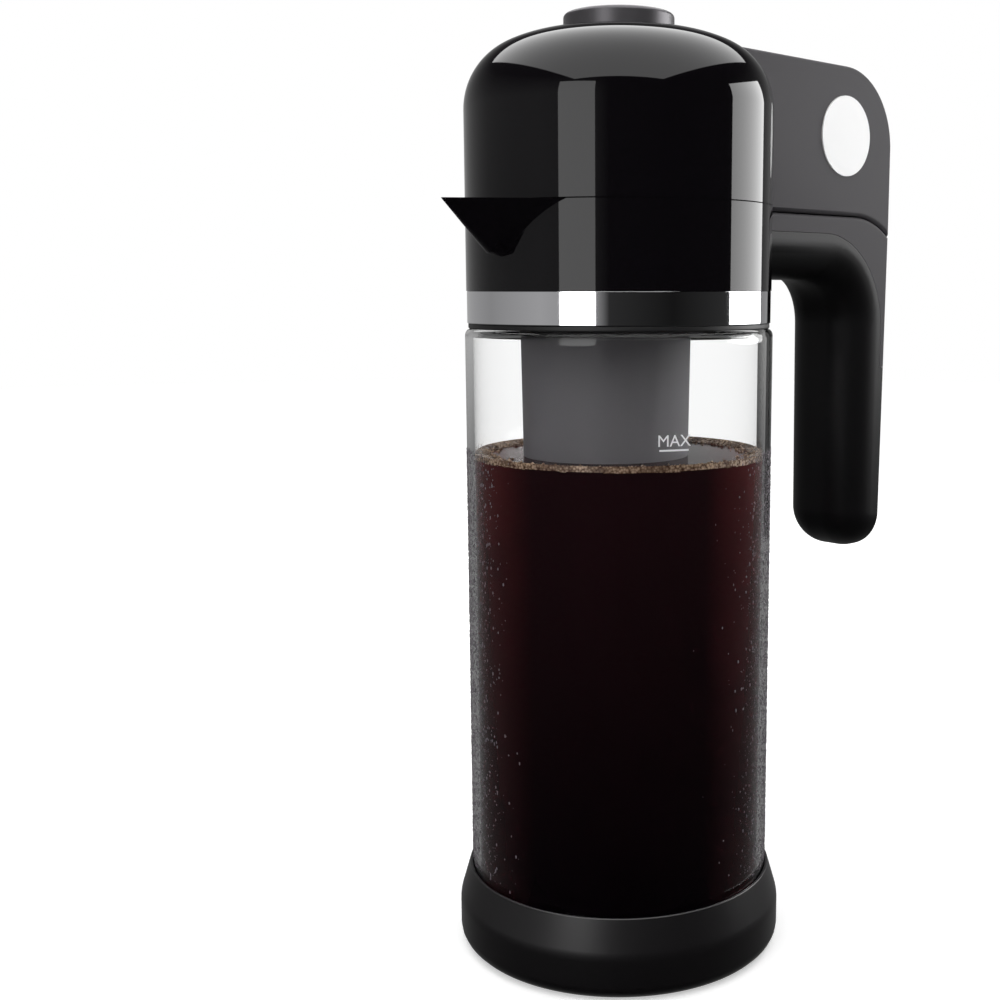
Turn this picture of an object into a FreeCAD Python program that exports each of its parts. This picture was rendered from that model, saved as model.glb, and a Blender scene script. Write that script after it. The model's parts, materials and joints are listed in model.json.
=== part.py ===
"""Cold brew coffee maker: a glass carafe in a soft boot, a spouted collar with a handle, a filter
column that hangs in the neck, and a lift-off brew head with a motor housing behind its dome.

Frame: origin at the centre of the boot's underside, +Z up, +X towards the handle. Millimetres.
"""
import FreeCAD, Part
import math
import os

import Sketcher

VECTOR = FreeCAD.Vector

# Driving sizes. Levels are heights above the surface that the boot stands on.
SIZES = {
    # glass carafe
    "glass_radius": 50.0,
    "glass_wall": 2.5,
    "glass_floor": 4.0,
    "glass_foot_round": 6.0,
    "glass_floor_round": 2.0,
    "glass_height": 202.2,
    "glass_shoulder_round": 2.4,
    "neck_inset": 4.5,
    "neck_rise": 15.8,
    # soft boot under the glass
    "boot_wall": 4.25,
    "boot_foot_round": 5.2,
    "boot_side_level": 14.8,
    "boot_slope_height": 11.4,
    "boot_lip_width": 0.9,
    "boot_floor": 4.5,
    "boot_gap": 0.15,
    # seal, steel band and ring round the neck
    "seal_height": 1.6,
    "seal_inset": 0.3,
    "band_inset": 0.2,
    "band_wall": 1.0,
    "band_height": 10.3,
    "band_gap": 0.1,
    "neck_gap": 0.15,
    # collar with its ledge and spout
    "collar_inset": 0.6,
    "collar_wall": 2.6,
    "collar_height": 26.6,
    "ledge_gap": 0.5,
    "ledge_thickness": 2.5,
    "ledge_width": 4.1,
    "spout_overhang": 21.8,
    "spout_depth": 23.0,
    "spout_root_depth": 18.4,
    "spout_bend_overhang": 4.6,
    "spout_bend_depth": 17.2,
    "spout_edge_inset": 0.43,
    "spout_nose_round": 3.0,
    "spout_nose_width": 1.8,
    "spout_root_inset": 6.0,
    "spout_wall": 2.7,
    "spout_floor": 3.2,
    "spout_tip_width": 0.5,
    "spout_tip_depth": 0.5,
    "spout_tip_round": 0.5,
    "spout_tip_nose": 0.2,
    "trough_nose_round": 1.8,
    "trough_nose_width": 1.1,
    "trough_tip_width": 0.25,
    "trough_tip_depth": 0.25,
    "trough_tip_nose": 0.1,
    "trough_tip_inset": 2.6,
    # handle
    "tongue_reach": 18.0,
    "tongue_width": 18.0,
    "tongue_height": 10.0,
    "tongue_rise": 2.5,
    "tongue_cover": 1.0,
    "tongue_gap": 0.2,
    "handle_reach": 75.2,
    "handle_width": 36.6,
    "foot_taper": 2.6,
    "handle_length": 125.2,
    "handle_edge_round": 1.4,
    "handle_gap": 0.15,
    "arm_thickness": 16.4,
    "arm_root_depth": 10.0,
    "grip_depth": 19.2,
    "grip_bend": 16.0,
    "grip_round": 14.0,
    "grip_round_margin": 1.2,
    "grip_end_round": 15.2,
    "grip_bow": 35.4,
    "spine_thickness": 3.2,
    "spine_run": 13.6,
    "handle_screw_radius": 1.5,
    "handle_screw_head_radius": 3.0,
    "handle_screw_head_height": 2.2,
    "handle_screw_grip": 7.0,
    "handle_screw_clamp": 1.8,
    "handle_screw_inset": 7.6,
    "handle_screw_pitch": 7.0,
    "screw_gap": 0.1,
    # filter column
    "column_offset": 6.0,
    "column_top_radius": 27.8,
    "column_draft": 0.9,
    "column_wall": 1.8,
    "column_length": 163.5,
    "column_plain_height": 65.5,
    "column_window_width": 17.0,
    "column_window_gap": 9.0,
    "flange_thickness": 2.0,
    "flange_gap": 0.5,
    "pour_hole_radius": 3.4,
    "pour_hole_inset": 3.7,
    "mesh_wall": 0.6,
    "mesh_gap": 0.15,
    "mesh_lip_width": 1.2,
    "cap_height": 8.0,
    "cap_floor": 1.6,
    # dome
    "dome_wall": 2.5,
    "dome_side_height": 29.8,
    "shoulder_round": 22.0,
    "shoulder_angle": 66.0,
    "button_radius": 17.6,
    "button_gap": 0.35,
    "dome_boss_radius": 4.6,
    "dome_boss_height": 13.0,
    "base_screw_inset": 3.2,
    "base_screw_radius": 1.2,
    "base_screw_head_radius": 1.6,
    "base_screw_head_height": 1.4,
    "base_screw_grip": 6.5,
    "boss_hole_spare": 3.0,
    "window_width": 26.0,
    "window_margin": 7.0,
    # base of the brew head
    "head_plate_thickness": 3.0,
    "head_plate_gap": 0.3,
    "head_plate_step": 0.2,
    "plug_gap": 0.7,
    "plug_width": 5.1,
    "plug_depth": 6.7,
    "gasket_drop": 1.6,
    "gasket_height": 2.0,
    "gasket_groove": 1.6,
    "gasket_gap": 0.3,
    # water path
    "tube_clearance": 5.8,
    "tube_radius": 3.0,
    "tube_bore": 2.1,
    "strainer_radius": 4.2,
    "strainer_clearance": 1.5,
    "strainer_height": 15.0,
    "strainer_slot": 1.2,
    "strainer_pass": 0.5,
    "strainer_floor": 1.2,
    "strainer_seat": 7.3,
    "strainer_gap": 0.2,
    "strainer_slot_inset": 1.0,
    "grommet_radius": 5.0,
    "grommet_lip": 1.4,
    "hose_gap": 0.1,
    "hose_wall": 1.3,
    "hose_bend": 9.0,
    "spray_radius": 20.0,
    "spray_height": 5.0,
    "spray_wall": 1.4,
    "spray_hole_radius": 0.9,
    "spray_inner_ring": 8.0,
    "spray_outer_ring": 15.0,
    "spray_stub_height": 9.0,
    # rear housing, pump and motor
    "housing_overlap": 19.4,
    "housing_height": 52.6,
    "housing_corner": 27.5,
    "housing_wall": 2.5,
    "housing_gap": 0.2,
    "housing_edge_round": 1.4,
    "seam_gap": 0.4,
    "seam_drop": 6.8,
    "seam_corner": 22.0,
    "seam_bend": 35.2,
    "badge_radius": 14.0,
    "badge_inset": 28.6,
    "badge_drop": 24.4,
    "badge_recess": 0.7,
    "badge_proud": 0.4,
    "badge_gap": 0.2,
    "motor_board_gap": 1.6,
    "motor_rise": 15.9,
    "motor_radius": 12.2,
    "motor_length": 32.0,
    "motor_wall": 0.9,
    "shaft_radius": 1.5,
    "shaft_gap": 0.05,
    "shaft_tip_cover": 1.0,
    "armature_radius": 8.0,
    "armature_clearance": 5.0,
    "volute_radius": 14.0,
    "volute_length": 13.5,
    "volute_wall": 2.2,
    "impeller_gap": 0.8,
    "impeller_hub_radius": 3.2,
    "impeller_blade": 1.0,
    "impeller_cap": 0.6,
    "nozzle_length": 12.5,
    "outlet_offset": 12.0,
    "cradle_length": 20.0,
    "cradle_gap": 0.15,
    "cradle_lip": 1.0,
    "cradle_edge": 1.7,
    "board_inset": 15.6,
    "board_thickness": 1.6,
    "board_side_gap": 0.8,
    "board_height": 38.0,
    "board_seat": 0.2,
    "chip_width": 7.0,
    "chip_height": 8.0,
    "chip_depth": 1.3,
    "block_depth": 5.5,
    "chip_spread": 18.0,
    "block_rise": 5.0,
    "chip_rise": 20.0,
    "socket_width": 9.0,
    "socket_rise": 7.9,
    "socket_bore": 3.0,
    "socket_pin_radius": 1.0,
    "socket_pocket": 9.0,
    "socket_pin_inset": 1.0,
    "socket_seat": 0.2,
    "inlet_margin": 0.6,
    "light_radius": 1.5,
    "light_rise": 10.0,
    "light_gap": 0.1,
    "light_proud": 0.2,
    # button on the dome
    "button_proud": 5.8,
    "button_wall": 1.8,
    "button_edge_round": 1.2,
    "button_flange": 1.6,
    "button_flange_width": 2.0,
    "button_rest_gap": 0.3,
    "button_stem_radius": 2.0,
    "button_travel": 1.5,
    "plunger_radius": 1.7,
    "plunger_length": 2.8,
    "plunger_gap": 0.1,
    "plunger_room": 0.2,
    "switch_floor": 0.4,
    "switch_width": 6.4,
    "switch_height": 3.2,
    "plate_margin": 4.0,
    "plate_thickness": 1.6,
    "plate_post_gap": 0.8,
    "plate_boss_radius": 2.6,
    "plate_screw_radius": 1.0,
    "plate_screw_head_radius": 2.0,
    "plate_screw_head_height": 1.2,
    "plate_screw_grip": 5.0,
}
POUR_HOLES = 9
COLUMN_WINDOWS = 6
STRAINER_SLOTS = 6
IMPELLER_BLADES = 6
BASE_SCREWS = 4
PLATE_SCREWS = 3
SPRAY_RING_HOLES = 8


class Measure:
    """A size as a number, with the sheet formula that gives it."""

    def __init__(self, value, formula):
        self.value = float(value)
        self.formula = formula

    def __add__(self, other):
        other = measure(other)
        return Measure(self.value + other.value, f"({self.formula} + {other.formula})")

    def __sub__(self, other):
        other = measure(other)
        return Measure(self.value - other.value, f"({self.formula} - {other.formula})")

    def __mul__(self, other):
        other = measure(other)
        return Measure(self.value * other.value, f"({self.formula} * {other.formula})")

    def __truediv__(self, other):
        other = measure(other)
        return Measure(self.value / other.value, f"({self.formula} / {other.formula})")

    def __neg__(self):
        return Measure(-self.value, f"(0 - {self.formula})")


def measure(number):
    """A plain number as a Measure; a Measure stays as it is."""
    if isinstance(number, Measure):
        return number
    return Measure(number, repr(float(number)))


def sine(angle):
    """The sine of a Measure in degrees."""
    return Measure(math.sin(math.radians(angle.value)), f"sin({angle.formula})")


def cosine(angle):
    """The cosine of a Measure in degrees."""
    return Measure(math.cos(math.radians(angle.value)), f"cos({angle.formula})")


def tangent(angle):
    """The tangent of a Measure in degrees."""
    return Measure(math.tan(math.radians(angle.value)), f"tan({angle.formula})")


def root(square):
    """The square root of a Measure."""
    return Measure(math.sqrt(square.value), f"sqrt({square.formula})")


class SizeSheet:
    """The document's sheet of driving sizes, read as attributes that are Measures."""

    def __init__(self, document, values):
        sheet = document.addObject("Spreadsheet::Sheet", "Sizes")
        for row, (name, value) in enumerate(values.items(), start=1):
            sheet.set(f"A{row}", name)
            sheet.set(f"B{row}", repr(value))
            sheet.setAlias(f"B{row}", name)
            setattr(self, name, Measure(value, f"Sizes.{name}"))
        document.recompute()


def smaller(first, second):
    """The smaller of two Measures."""
    return Measure(min(first.value, second.value), f"min({first.formula}; {second.formula})")


def derive_carafe(s):
    """Works out the carafe's and collar's radii and levels from the driving sizes."""
    s.boot_radius = s.glass_radius + s.boot_gap + s.boot_wall
    s.boot_level = s.boot_side_level + s.boot_slope_height
    s.neck_radius = s.glass_radius - s.neck_inset
    s.glass_shoulder_level = s.boot_floor + s.glass_height
    s.neck_level = s.glass_shoulder_level + s.neck_rise
    s.collar_radius = s.glass_radius - s.collar_inset
    s.band_radius = s.collar_radius - s.band_inset
    s.seal_radius = s.band_radius - s.seal_inset
    s.band_level = s.glass_shoulder_level + s.seal_height
    s.seam_level = s.band_level + s.band_height + s.collar_height
    s.ledge_level = s.neck_level + s.ledge_gap + s.ledge_thickness
    s.spout_reach = s.collar_radius + s.spout_overhang
    root_reach = s.collar_radius - s.spout_root_inset
    chord = root(s.collar_radius * s.collar_radius - root_reach * root_reach)
    s.spout_half_width = chord - s.spout_edge_inset
    s.spout_bend_reach = s.collar_radius + s.spout_bend_overhang
    bend_share = (s.spout_overhang - s.spout_bend_overhang) / (s.spout_reach - root_reach)
    s.spout_bend_width = s.spout_half_width * bend_share
    s.tongue_level = s.ledge_level + s.tongue_rise


def derive_handle(s):
    """Works out the handle's reaches and levels."""
    s.handle_back = s.collar_radius + s.handle_reach
    s.handle_foot_width = s.handle_width - s.foot_taper
    s.handle_bottom_level = s.seam_level - s.handle_length
    s.grip_top_level = s.tongue_level + s.tongue_height + s.tongue_cover
    s.arm_level = s.grip_top_level - s.arm_thickness
    s.grip_inner_reach = s.handle_back - s.grip_depth
    s.spine_end_level = s.grip_top_level - s.grip_bow - s.spine_run
    s.handle_screw_first = s.collar_radius + s.handle_screw_inset


def derive_filter(s):
    """Works out the filter column's levels and the places beside it."""
    s.column_bottom_level = s.ledge_level - s.column_length
    s.column_band_level = s.ledge_level - s.column_plain_height
    s.pour_hole_circle = s.collar_radius - s.collar_wall - s.ledge_width - s.pour_hole_inset
    s.tube_offset = s.column_top_radius - s.column_offset + s.tube_clearance
    s.strainer_level = s.boot_floor + s.glass_floor + s.strainer_clearance


def derive_head(s):
    """Works out the places of what the brew head holds."""
    s.dome_radius = s.collar_radius
    s.shoulder_level = s.seam_level + s.dome_side_height
    s.base_screw_circle = s.collar_radius - s.collar_wall - s.plug_gap - s.base_screw_inset
    s.housing_front = s.dome_radius - s.housing_overlap
    s.housing_top_level = s.seam_level + s.housing_height
    s.housing_floor = s.seam_level + s.seam_gap + s.housing_wall
    s.badge_reach = s.handle_back - s.badge_inset
    s.badge_level = s.housing_top_level - s.badge_drop
    s.board_reach = s.handle_back - s.housing_wall - s.board_inset
    s.board_width = s.handle_width - s.housing_wall * 2 - s.board_side_gap * 2
    s.motor_reach = s.board_reach - s.motor_board_gap - s.motor_wall - s.motor_length
    s.motor_level = s.housing_floor + s.motor_rise
    s.cradle_reach = s.motor_radius - s.cradle_edge
    s.window_level = s.motor_level - s.window_margin
    s.window_height = s.outlet_offset + s.window_margin * 2
    s.tube_top_level = s.motor_level - s.hose_bend
    s.socket_level = s.housing_floor + s.socket_rise
    s.inlet_radius = s.socket_bore + s.inlet_margin
    s.light_level = s.socket_level + s.light_rise
    s.plate_screw_circle = (s.button_radius + s.button_flange_width + s.plate_post_gap
                            + s.plate_boss_radius)
    s.plate_radius = s.plate_screw_circle + s.plate_margin


DOC = FreeCAD.newDocument("ColdBrewMaker")
S = SizeSheet(DOC, SIZES)
derive_carafe(S)
derive_handle(S)
derive_filter(S)
derive_head(S)
PARTS = []


# ---------------------------------------------------------------- drawing helpers


def bind(item, prop, size):
    """Sets one property of an object from a Measure and binds it to the sheet."""
    item.setExpression(prop, measure(size).formula)


def place(item, x=None, y=None, z=None, rotation=None):
    """Turns an object and binds the given coordinates of its place."""
    spot = VECTOR(*(0.0 if c is None else measure(c).value for c in (x, y, z)))
    item.Placement = FreeCAD.Placement(spot, rotation or FreeCAD.Rotation())
    for axis, value in (("x", x), ("y", y), ("z", z)):
        if value is not None:
            bind(item, f".Placement.Base.{axis}", value)


def new_body(label):
    """An empty body that becomes one sub-part."""
    body = DOC.addObject("PartDesign::Body", label)
    body.Label = label
    PARTS.append(body)
    return body


def new_sketch(body, name, plane="XZ_Plane", offset=None):
    """A sketch on one of the body's own planes, moved along the plane's normal by offset."""
    sketch = body.newObject("Sketcher::SketchObject", f"{body.Name}_{name}")
    base = [f for f in body.Origin.OriginFeatures if f.Role == plane][0]
    sketch.AttachmentSupport = [(base, "")]
    sketch.MapMode = "FlatFace"
    if offset is not None:
        sketch.AttachmentOffset = FreeCAD.Placement(
            VECTOR(0, 0, measure(offset).value), FreeCAD.Rotation()
        )
        bind(sketch, "AttachmentOffset.Base.z", offset)
    return sketch


def fix_point(sketch, curve, end, x, y):
    """Fixes one end of a curve by its two measures from the sketch's origin."""
    for kind, size, axis in (("DistanceX", measure(x), -2), ("DistanceY", measure(y), -1)):
        if abs(size.value) < 1e-9:
            sketch.addConstraint(Sketcher.Constraint("PointOnObject", curve, end, axis))
        elif size.value > 0:
            row = sketch.addConstraint(Sketcher.Constraint(kind, -1, 1, curve, end, size.value))
            sketch.setExpression(f"Constraints[{row}]", size.formula)
        else:
            row = sketch.addConstraint(Sketcher.Constraint(kind, curve, end, -1, 1, -size.value))
            sketch.setExpression(f"Constraints[{row}]", (-size).formula)


def arc_between(first, last, radius, left):
    """The shorter arc from first to last, which turns left or right on its way."""
    middle = (first + last) * 0.5
    chord = last - first
    side = VECTOR(-chord.y, chord.x, 0).normalize() * (1 if left else -1)
    centre = middle + side * math.sqrt(max(radius**2 - (chord.Length / 2) ** 2, 0.0))
    start, stop = (first, last) if left else (last, first)
    low = math.atan2(start.y - centre.y, start.x - centre.x)
    high = math.atan2(stop.y - centre.y, stop.x - centre.x)
    if high < low:
        high += 2 * math.pi
    return Part.ArcOfCircle(Part.Circle(centre, VECTOR(0, 0, 1), radius), low, high)


def draw(sketch, corners, closed=True):
    """Draws a chain of lines and arcs. A corner is (x, y), or (x, y, radius) where an arc starts:
    a positive radius turns left on the way to the next corner, and a negative one turns right."""
    spots = [VECTOR(measure(c[0]).value, measure(c[1]).value, 0) for c in corners]
    runs = len(corners) if closed else len(corners) - 1
    ends = []
    for i in range(runs):
        first, last = spots[i], spots[(i + 1) % len(spots)]
        if len(corners[i]) == 2:
            ends.append((sketch.addGeometry(Part.LineSegment(first, last)), 1, 2))
            continue
        size = measure(corners[i][2])
        left = size.value > 0
        curve = sketch.addGeometry(arc_between(first, last, abs(size.value), left))
        ends.append((curve, 1, 2) if left else (curve, 2, 1))
        row = sketch.addConstraint(Sketcher.Constraint("Radius", curve, abs(size.value)))
        sketch.setExpression(f"Constraints[{row}]", size.formula if left else (-size).formula)
    for i in range(runs):
        curve, start, stop = ends[i]
        fix_point(sketch, curve, start, *corners[i][:2])
        if closed or i + 1 < runs:
            following, begin, _ = ends[(i + 1) % runs]
            sketch.addConstraint(Sketcher.Constraint("Coincident", curve, stop, following, begin))
        else:
            fix_point(sketch, curve, stop, *corners[-1][:2])


def draw_circle(sketch, x, y, radius):
    """Draws a circle by its centre and radius."""
    x, y, radius = measure(x), measure(y), measure(radius)
    circle = Part.Circle(VECTOR(x.value, y.value, 0), VECTOR(0, 0, 1), radius.value)
    curve = sketch.addGeometry(circle)
    row = sketch.addConstraint(Sketcher.Constraint("Radius", curve, radius.value))
    sketch.setExpression(f"Constraints[{row}]", radius.formula)
    fix_point(sketch, curve, 3, x, y)


def draw_box(sketch, low_x, low_y, high_x, high_y):
    """Draws a rectangle by two opposite corners."""
    draw(sketch, [(low_x, low_y), (high_x, low_y), (high_x, high_y), (low_x, high_y)])


def revolve(body, name, corners, cut=False):
    """Turns a half profile, drawn as (radius, level), about the body's Z axis."""
    sketch = new_sketch(body, f"{name}_profile")
    draw(sketch, corners)
    kind = "PartDesign::Groove" if cut else "PartDesign::Revolution"
    feature = body.newObject(kind, f"{body.Name}_{name}")
    feature.Profile = sketch
    feature.ReferenceAxis = (sketch, ["V_Axis"])
    feature.Angle = 360.0
    return feature


def extrude(body, name, sketch, length, cut=False, both_ways=False, reverse=False):
    """Pads or pockets a sketch by a length along its normal."""
    kind = "PartDesign::Pocket" if cut else "PartDesign::Pad"
    feature = body.newObject(kind, f"{body.Name}_{name}")
    feature.Profile = sketch
    if both_ways:
        feature.SideType = "Symmetric"
    feature.Reversed = reverse
    bind(feature, "Length", length)
    return feature


def polar(body, name, features, count):
    """Repeats features evenly about the body's Z axis."""
    pattern = body.newObject("PartDesign::PolarPattern", f"{body.Name}_{name}")
    pattern.Originals = features
    axis = [f for f in body.Origin.OriginFeatures if f.Role == "Z_Axis"][0]
    pattern.Axis = (axis, [""])
    pattern.Angle = 360.0
    pattern.Occurrences = count
    body.Tip = pattern
    return pattern


def round_edges(body, name, radius, wanted):
    """Rounds the edges of the body's last feature for which wanted(edge) is true."""
    DOC.recompute()
    base = body.Tip
    names = [f"Edge{i}" for i, e in enumerate(base.Shape.Edges, start=1) if wanted(e)]
    feature = body.newObject("PartDesign::Fillet", f"{body.Name}_{name}")
    feature.Base = (base, names)
    bind(feature, "Radius", radius)
    body.Tip = feature
    return feature


def ring(label, inner, outer, low, high):
    """A sub-part that is a plain ring about the Z axis."""
    body = new_body(label)
    revolve(body, "ring", [(inner, low), (outer, low), (outer, high), (inner, high)])
    return body


def cylinder(label, radius, height, x, y, z):
    """A bare cylinder, for a compound or a boolean."""
    item = DOC.addObject("Part::Cylinder", label)
    bind(item, "Radius", radius)
    bind(item, "Height", height)
    place(item, x, y, z)
    return item


def compound(label, items):
    """A sub-part of several separate solids."""
    group = DOC.addObject("Part::Compound", label)
    group.Label = label
    group.Links = items
    PARTS.append(group)
    return group


def screw(label, head_radius, head_height, shank_radius, length, x, y, z):
    """A screw that points up, with the underside of its head at z."""
    head = cylinder(f"{label}_head", head_radius, head_height, x, y, measure(z) - head_height)
    shank = cylinder(f"{label}_shank", shank_radius, measure(length) + head_height, x, y,
                     measure(z) - head_height)
    whole = DOC.addObject("Part::Fuse", label)
    whole.Base = head
    whole.Tool = shank
    return whole


def around(radius, index, count, start=0.0):
    """The place of one of count points spread evenly on a circle."""
    angle = measure(start + 360.0 * index / count)
    return measure(radius) * cosine(angle), measure(radius) * sine(angle)


# ---------------------------------------------------------------- carafe


def make_boot():
    """The soft boot, a cup with a rounded foot and a shoulder that slopes in to the glass."""
    body = new_body("base_boot")
    pocket = S.glass_radius + S.boot_gap
    foot = S.boot_radius - S.boot_foot_round
    corner = S.glass_foot_round
    revolve(body, "cup", [
        (0, 0),
        (foot, 0, S.boot_foot_round),
        (S.boot_radius, S.boot_foot_round),
        (S.boot_radius, S.boot_side_level),
        (pocket + S.boot_lip_width, S.boot_level),
        (pocket, S.boot_level),
        (pocket, S.boot_floor + corner, -corner),
        (pocket - corner, S.boot_floor),
        (0, S.boot_floor),
    ])


def make_glass():
    """The glass: a straight cylinder with a small shoulder and a neck inside the collar."""
    body = new_body("glass_carafe")
    bore = S.glass_radius - S.glass_wall
    neck_bore = S.neck_radius - S.glass_wall
    foot = S.glass_foot_round
    inner_foot = S.glass_floor_round
    floor = S.boot_floor + S.glass_floor
    turn = S.glass_shoulder_round
    revolve(body, "wall", [
        (0, S.boot_floor),
        (S.glass_radius - foot, S.boot_floor, foot),
        (S.glass_radius, S.boot_floor + foot),
        (S.glass_radius, S.glass_shoulder_level - turn, turn),
        (S.glass_radius - turn, S.glass_shoulder_level),
        (S.neck_radius, S.glass_shoulder_level),
        (S.neck_radius, S.neck_level),
        (neck_bore, S.neck_level),
        (neck_bore, S.glass_shoulder_level - S.glass_wall),
        (bore, S.glass_shoulder_level - S.glass_wall - S.glass_wall),
        (bore, floor + inner_foot, -inner_foot),
        (bore - inner_foot, floor),
        (0, floor),
    ])


def make_neck_rings():
    """The seal on the glass shoulder, the steel band and the ring that holds the neck."""
    ring("neck_seal", S.neck_radius + S.neck_gap, S.seal_radius, S.glass_shoulder_level, S.band_level)
    ring("steel_band", S.band_radius - S.band_wall, S.band_radius, S.band_level,
         S.band_level + S.band_height)
    ring("neck_ring", S.neck_radius + S.neck_gap, collar_bore() - S.neck_gap, S.band_level,
         S.neck_level)


def collar_bore():
    """The inner radius of the collar."""
    return S.collar_radius - S.collar_wall


def spout_section(half_width, depth, nose_width, nose_round, rise):
    """One V of the spout, drawn across it at its own station, with a rounded bottom."""
    top = S.seam_level + rise
    nose_level = S.seam_level - depth + depth * nose_width / half_width
    return [
        (-half_width, top),
        (-nose_width, nose_level, nose_round),
        (nose_width, nose_level),
        (half_width, top),
    ]


def loft_spout(body, name, stations, cut):
    """Joins V sections into the spout's outside or its trough."""
    sketches = []
    for number, (reach, corners) in enumerate(stations, start=1):
        sketch = new_sketch(body, f"{name}_section{number}", "YZ_Plane", -measure(reach))
        draw(sketch, corners)
        sketches.append(sketch)
    kind = "PartDesign::SubtractiveLoft" if cut else "PartDesign::AdditiveLoft"
    loft = body.newObject(kind, f"{body.Name}_{name}")
    loft.Profile = sketches[0]
    loft.Sections = sketches[1:]
    loft.Ruled = True
    return loft


def make_collar():
    """The collar: a skirt inside the band, a ledge for the filter, a V spout and a rear tongue."""
    body = new_body("spout_collar")
    bore = collar_bore()
    band_top = S.band_level + S.band_height
    skirt = S.band_radius - S.band_wall - S.band_gap
    revolve(body, "outside", [
        (0, S.band_level),
        (skirt, S.band_level),
        (skirt, band_top),
        (S.collar_radius, band_top),
        (S.collar_radius, S.seam_level),
        (0, S.seam_level),
    ])
    root_reach = S.collar_radius - S.spout_root_inset
    wide = spout_section(S.spout_half_width, S.spout_root_depth, S.spout_nose_width,
                         S.spout_nose_round, 0)
    bend = spout_section(S.spout_bend_width, S.spout_bend_depth, S.spout_nose_width,
                         S.spout_nose_round, 0)
    narrow = spout_section(S.spout_tip_width, S.spout_tip_depth, S.spout_tip_nose,
                           S.spout_tip_round, 0)
    stations = [(root_reach, wide), (S.spout_bend_reach, bend), (S.spout_reach, narrow)]
    loft_spout(body, "spout", stations, False)
    tongue = new_sketch(body, "tongue_profile")
    draw_box(tongue, bore, S.tongue_level, S.collar_radius + S.tongue_reach,
             S.tongue_level + S.tongue_height)
    extrude(body, "tongue", tongue, S.tongue_width, both_ways=True)
    ledge_bore = bore - S.ledge_width
    ledge_bottom = S.ledge_level - S.ledge_thickness
    revolve(body, "bore", [
        (0, S.band_level - 1),
        (bore, S.band_level - 1),
        (bore, ledge_bottom),
        (ledge_bore, ledge_bottom),
        (ledge_bore, S.ledge_level),
        (bore, S.ledge_level),
        (bore, S.seam_level + 1),
        (0, S.seam_level + 1),
    ], cut=True)
    trough = spout_section(S.spout_half_width - S.spout_wall, S.spout_depth - S.spout_floor,
                           S.trough_nose_width, S.trough_nose_round, 1)
    end = spout_section(S.trough_tip_width, S.trough_tip_depth, S.trough_tip_nose,
                        S.spout_tip_round, 1)
    loft_spout(body, "trough", [(root_reach, trough), (S.spout_reach - S.trough_tip_inset, end)],
               True)
    holes = new_sketch(body, "screw_holes", "XY_Plane", S.tongue_level)
    for reach in (S.handle_screw_first, S.handle_screw_first + S.handle_screw_pitch):
        draw_circle(holes, reach, 0, S.handle_screw_radius + S.screw_gap)
    extrude(body, "screw_bores", holes, S.handle_screw_grip + S.screw_gap, cut=True, reverse=True)


# ---------------------------------------------------------------- handle


def arm_root():
    """A reach inside the round body, from which the arm's pieces are drawn before they are cut."""
    return S.collar_radius - S.arm_root_depth


def handle_front():
    """The radius at which the handle and the housing meet the round body."""
    return S.collar_radius + S.handle_gap


def bow_corners(gap):
    """The line between shell and grip, from the root along the arm and down to the back. The gap
    moves it down and in, for the grip's own side of the joint."""
    top = S.grip_top_level - gap
    outer = S.handle_back - S.spine_thickness - gap
    radius = S.grip_bow - gap
    return top, outer, radius


def middle_of(edge):
    """The point halfway along an edge."""
    return edge.valueAt((edge.FirstParameter + edge.LastParameter) / 2)


def taper_sides(body):
    """Draws both sides of the handle in, from its full width at the seam to its foot."""
    low = S.handle_bottom_level - 1
    high = S.seam_level + 1
    beyond = S.handle_width / 2 + 1
    wedges = new_sketch(body, "side_wedges", "YZ_Plane")
    for side in (1, -1):
        draw(wedges, [
            (S.handle_foot_width / 2 * side, low),
            (beyond * side, low),
            (beyond * side, high),
            (S.handle_width / 2 * side, high),
        ])
    extrude(body, "taper", wedges, S.handle_back + 1, cut=True, reverse=True)


def make_handle_shell():
    """The hard shell: it covers the arm from above and the grip's back down to the spine's end."""
    body = new_body("handle_shell")
    top, outer, bow = bow_corners(measure(0))
    seam_start = S.handle_back - S.seam_corner
    root_reach = arm_root()
    sketch = new_sketch(body, "side")
    draw(sketch, [
        (root_reach, top),
        (outer - bow, top, -bow),
        (outer, top - bow),
        (outer, S.spine_end_level),
        (S.handle_back, S.spine_end_level),
        (S.handle_back, S.seam_level - S.seam_drop, S.seam_bend),
        (seam_start, S.seam_level),
        (root_reach, S.seam_level),
    ])
    extrude(body, "slab", sketch, S.handle_width, both_ways=True)
    taper_sides(body)

    def outer_edge(edge):
        middle = middle_of(edge)
        at_side = abs(middle.y) > S.handle_foot_width.value / 2
        at_back = middle.x > S.handle_back.value - 1e-4
        at_seam = middle.z > S.grip_top_level.value + 0.5 and middle.x > root_reach.value + 1
        return at_side and (at_back or at_seam)

    round_edges(body, "soft_edges", S.handle_edge_round, outer_edge)
    cut_round_front(body, S.spine_end_level, S.seam_level + 1)


def cut_round_front(body, low, high):
    """Cuts the piece back to the round body that it lies against."""
    revolve(body, "front", [
        (0, low), (handle_front(), low), (handle_front(), high), (0, high),
    ], cut=True)


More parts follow.
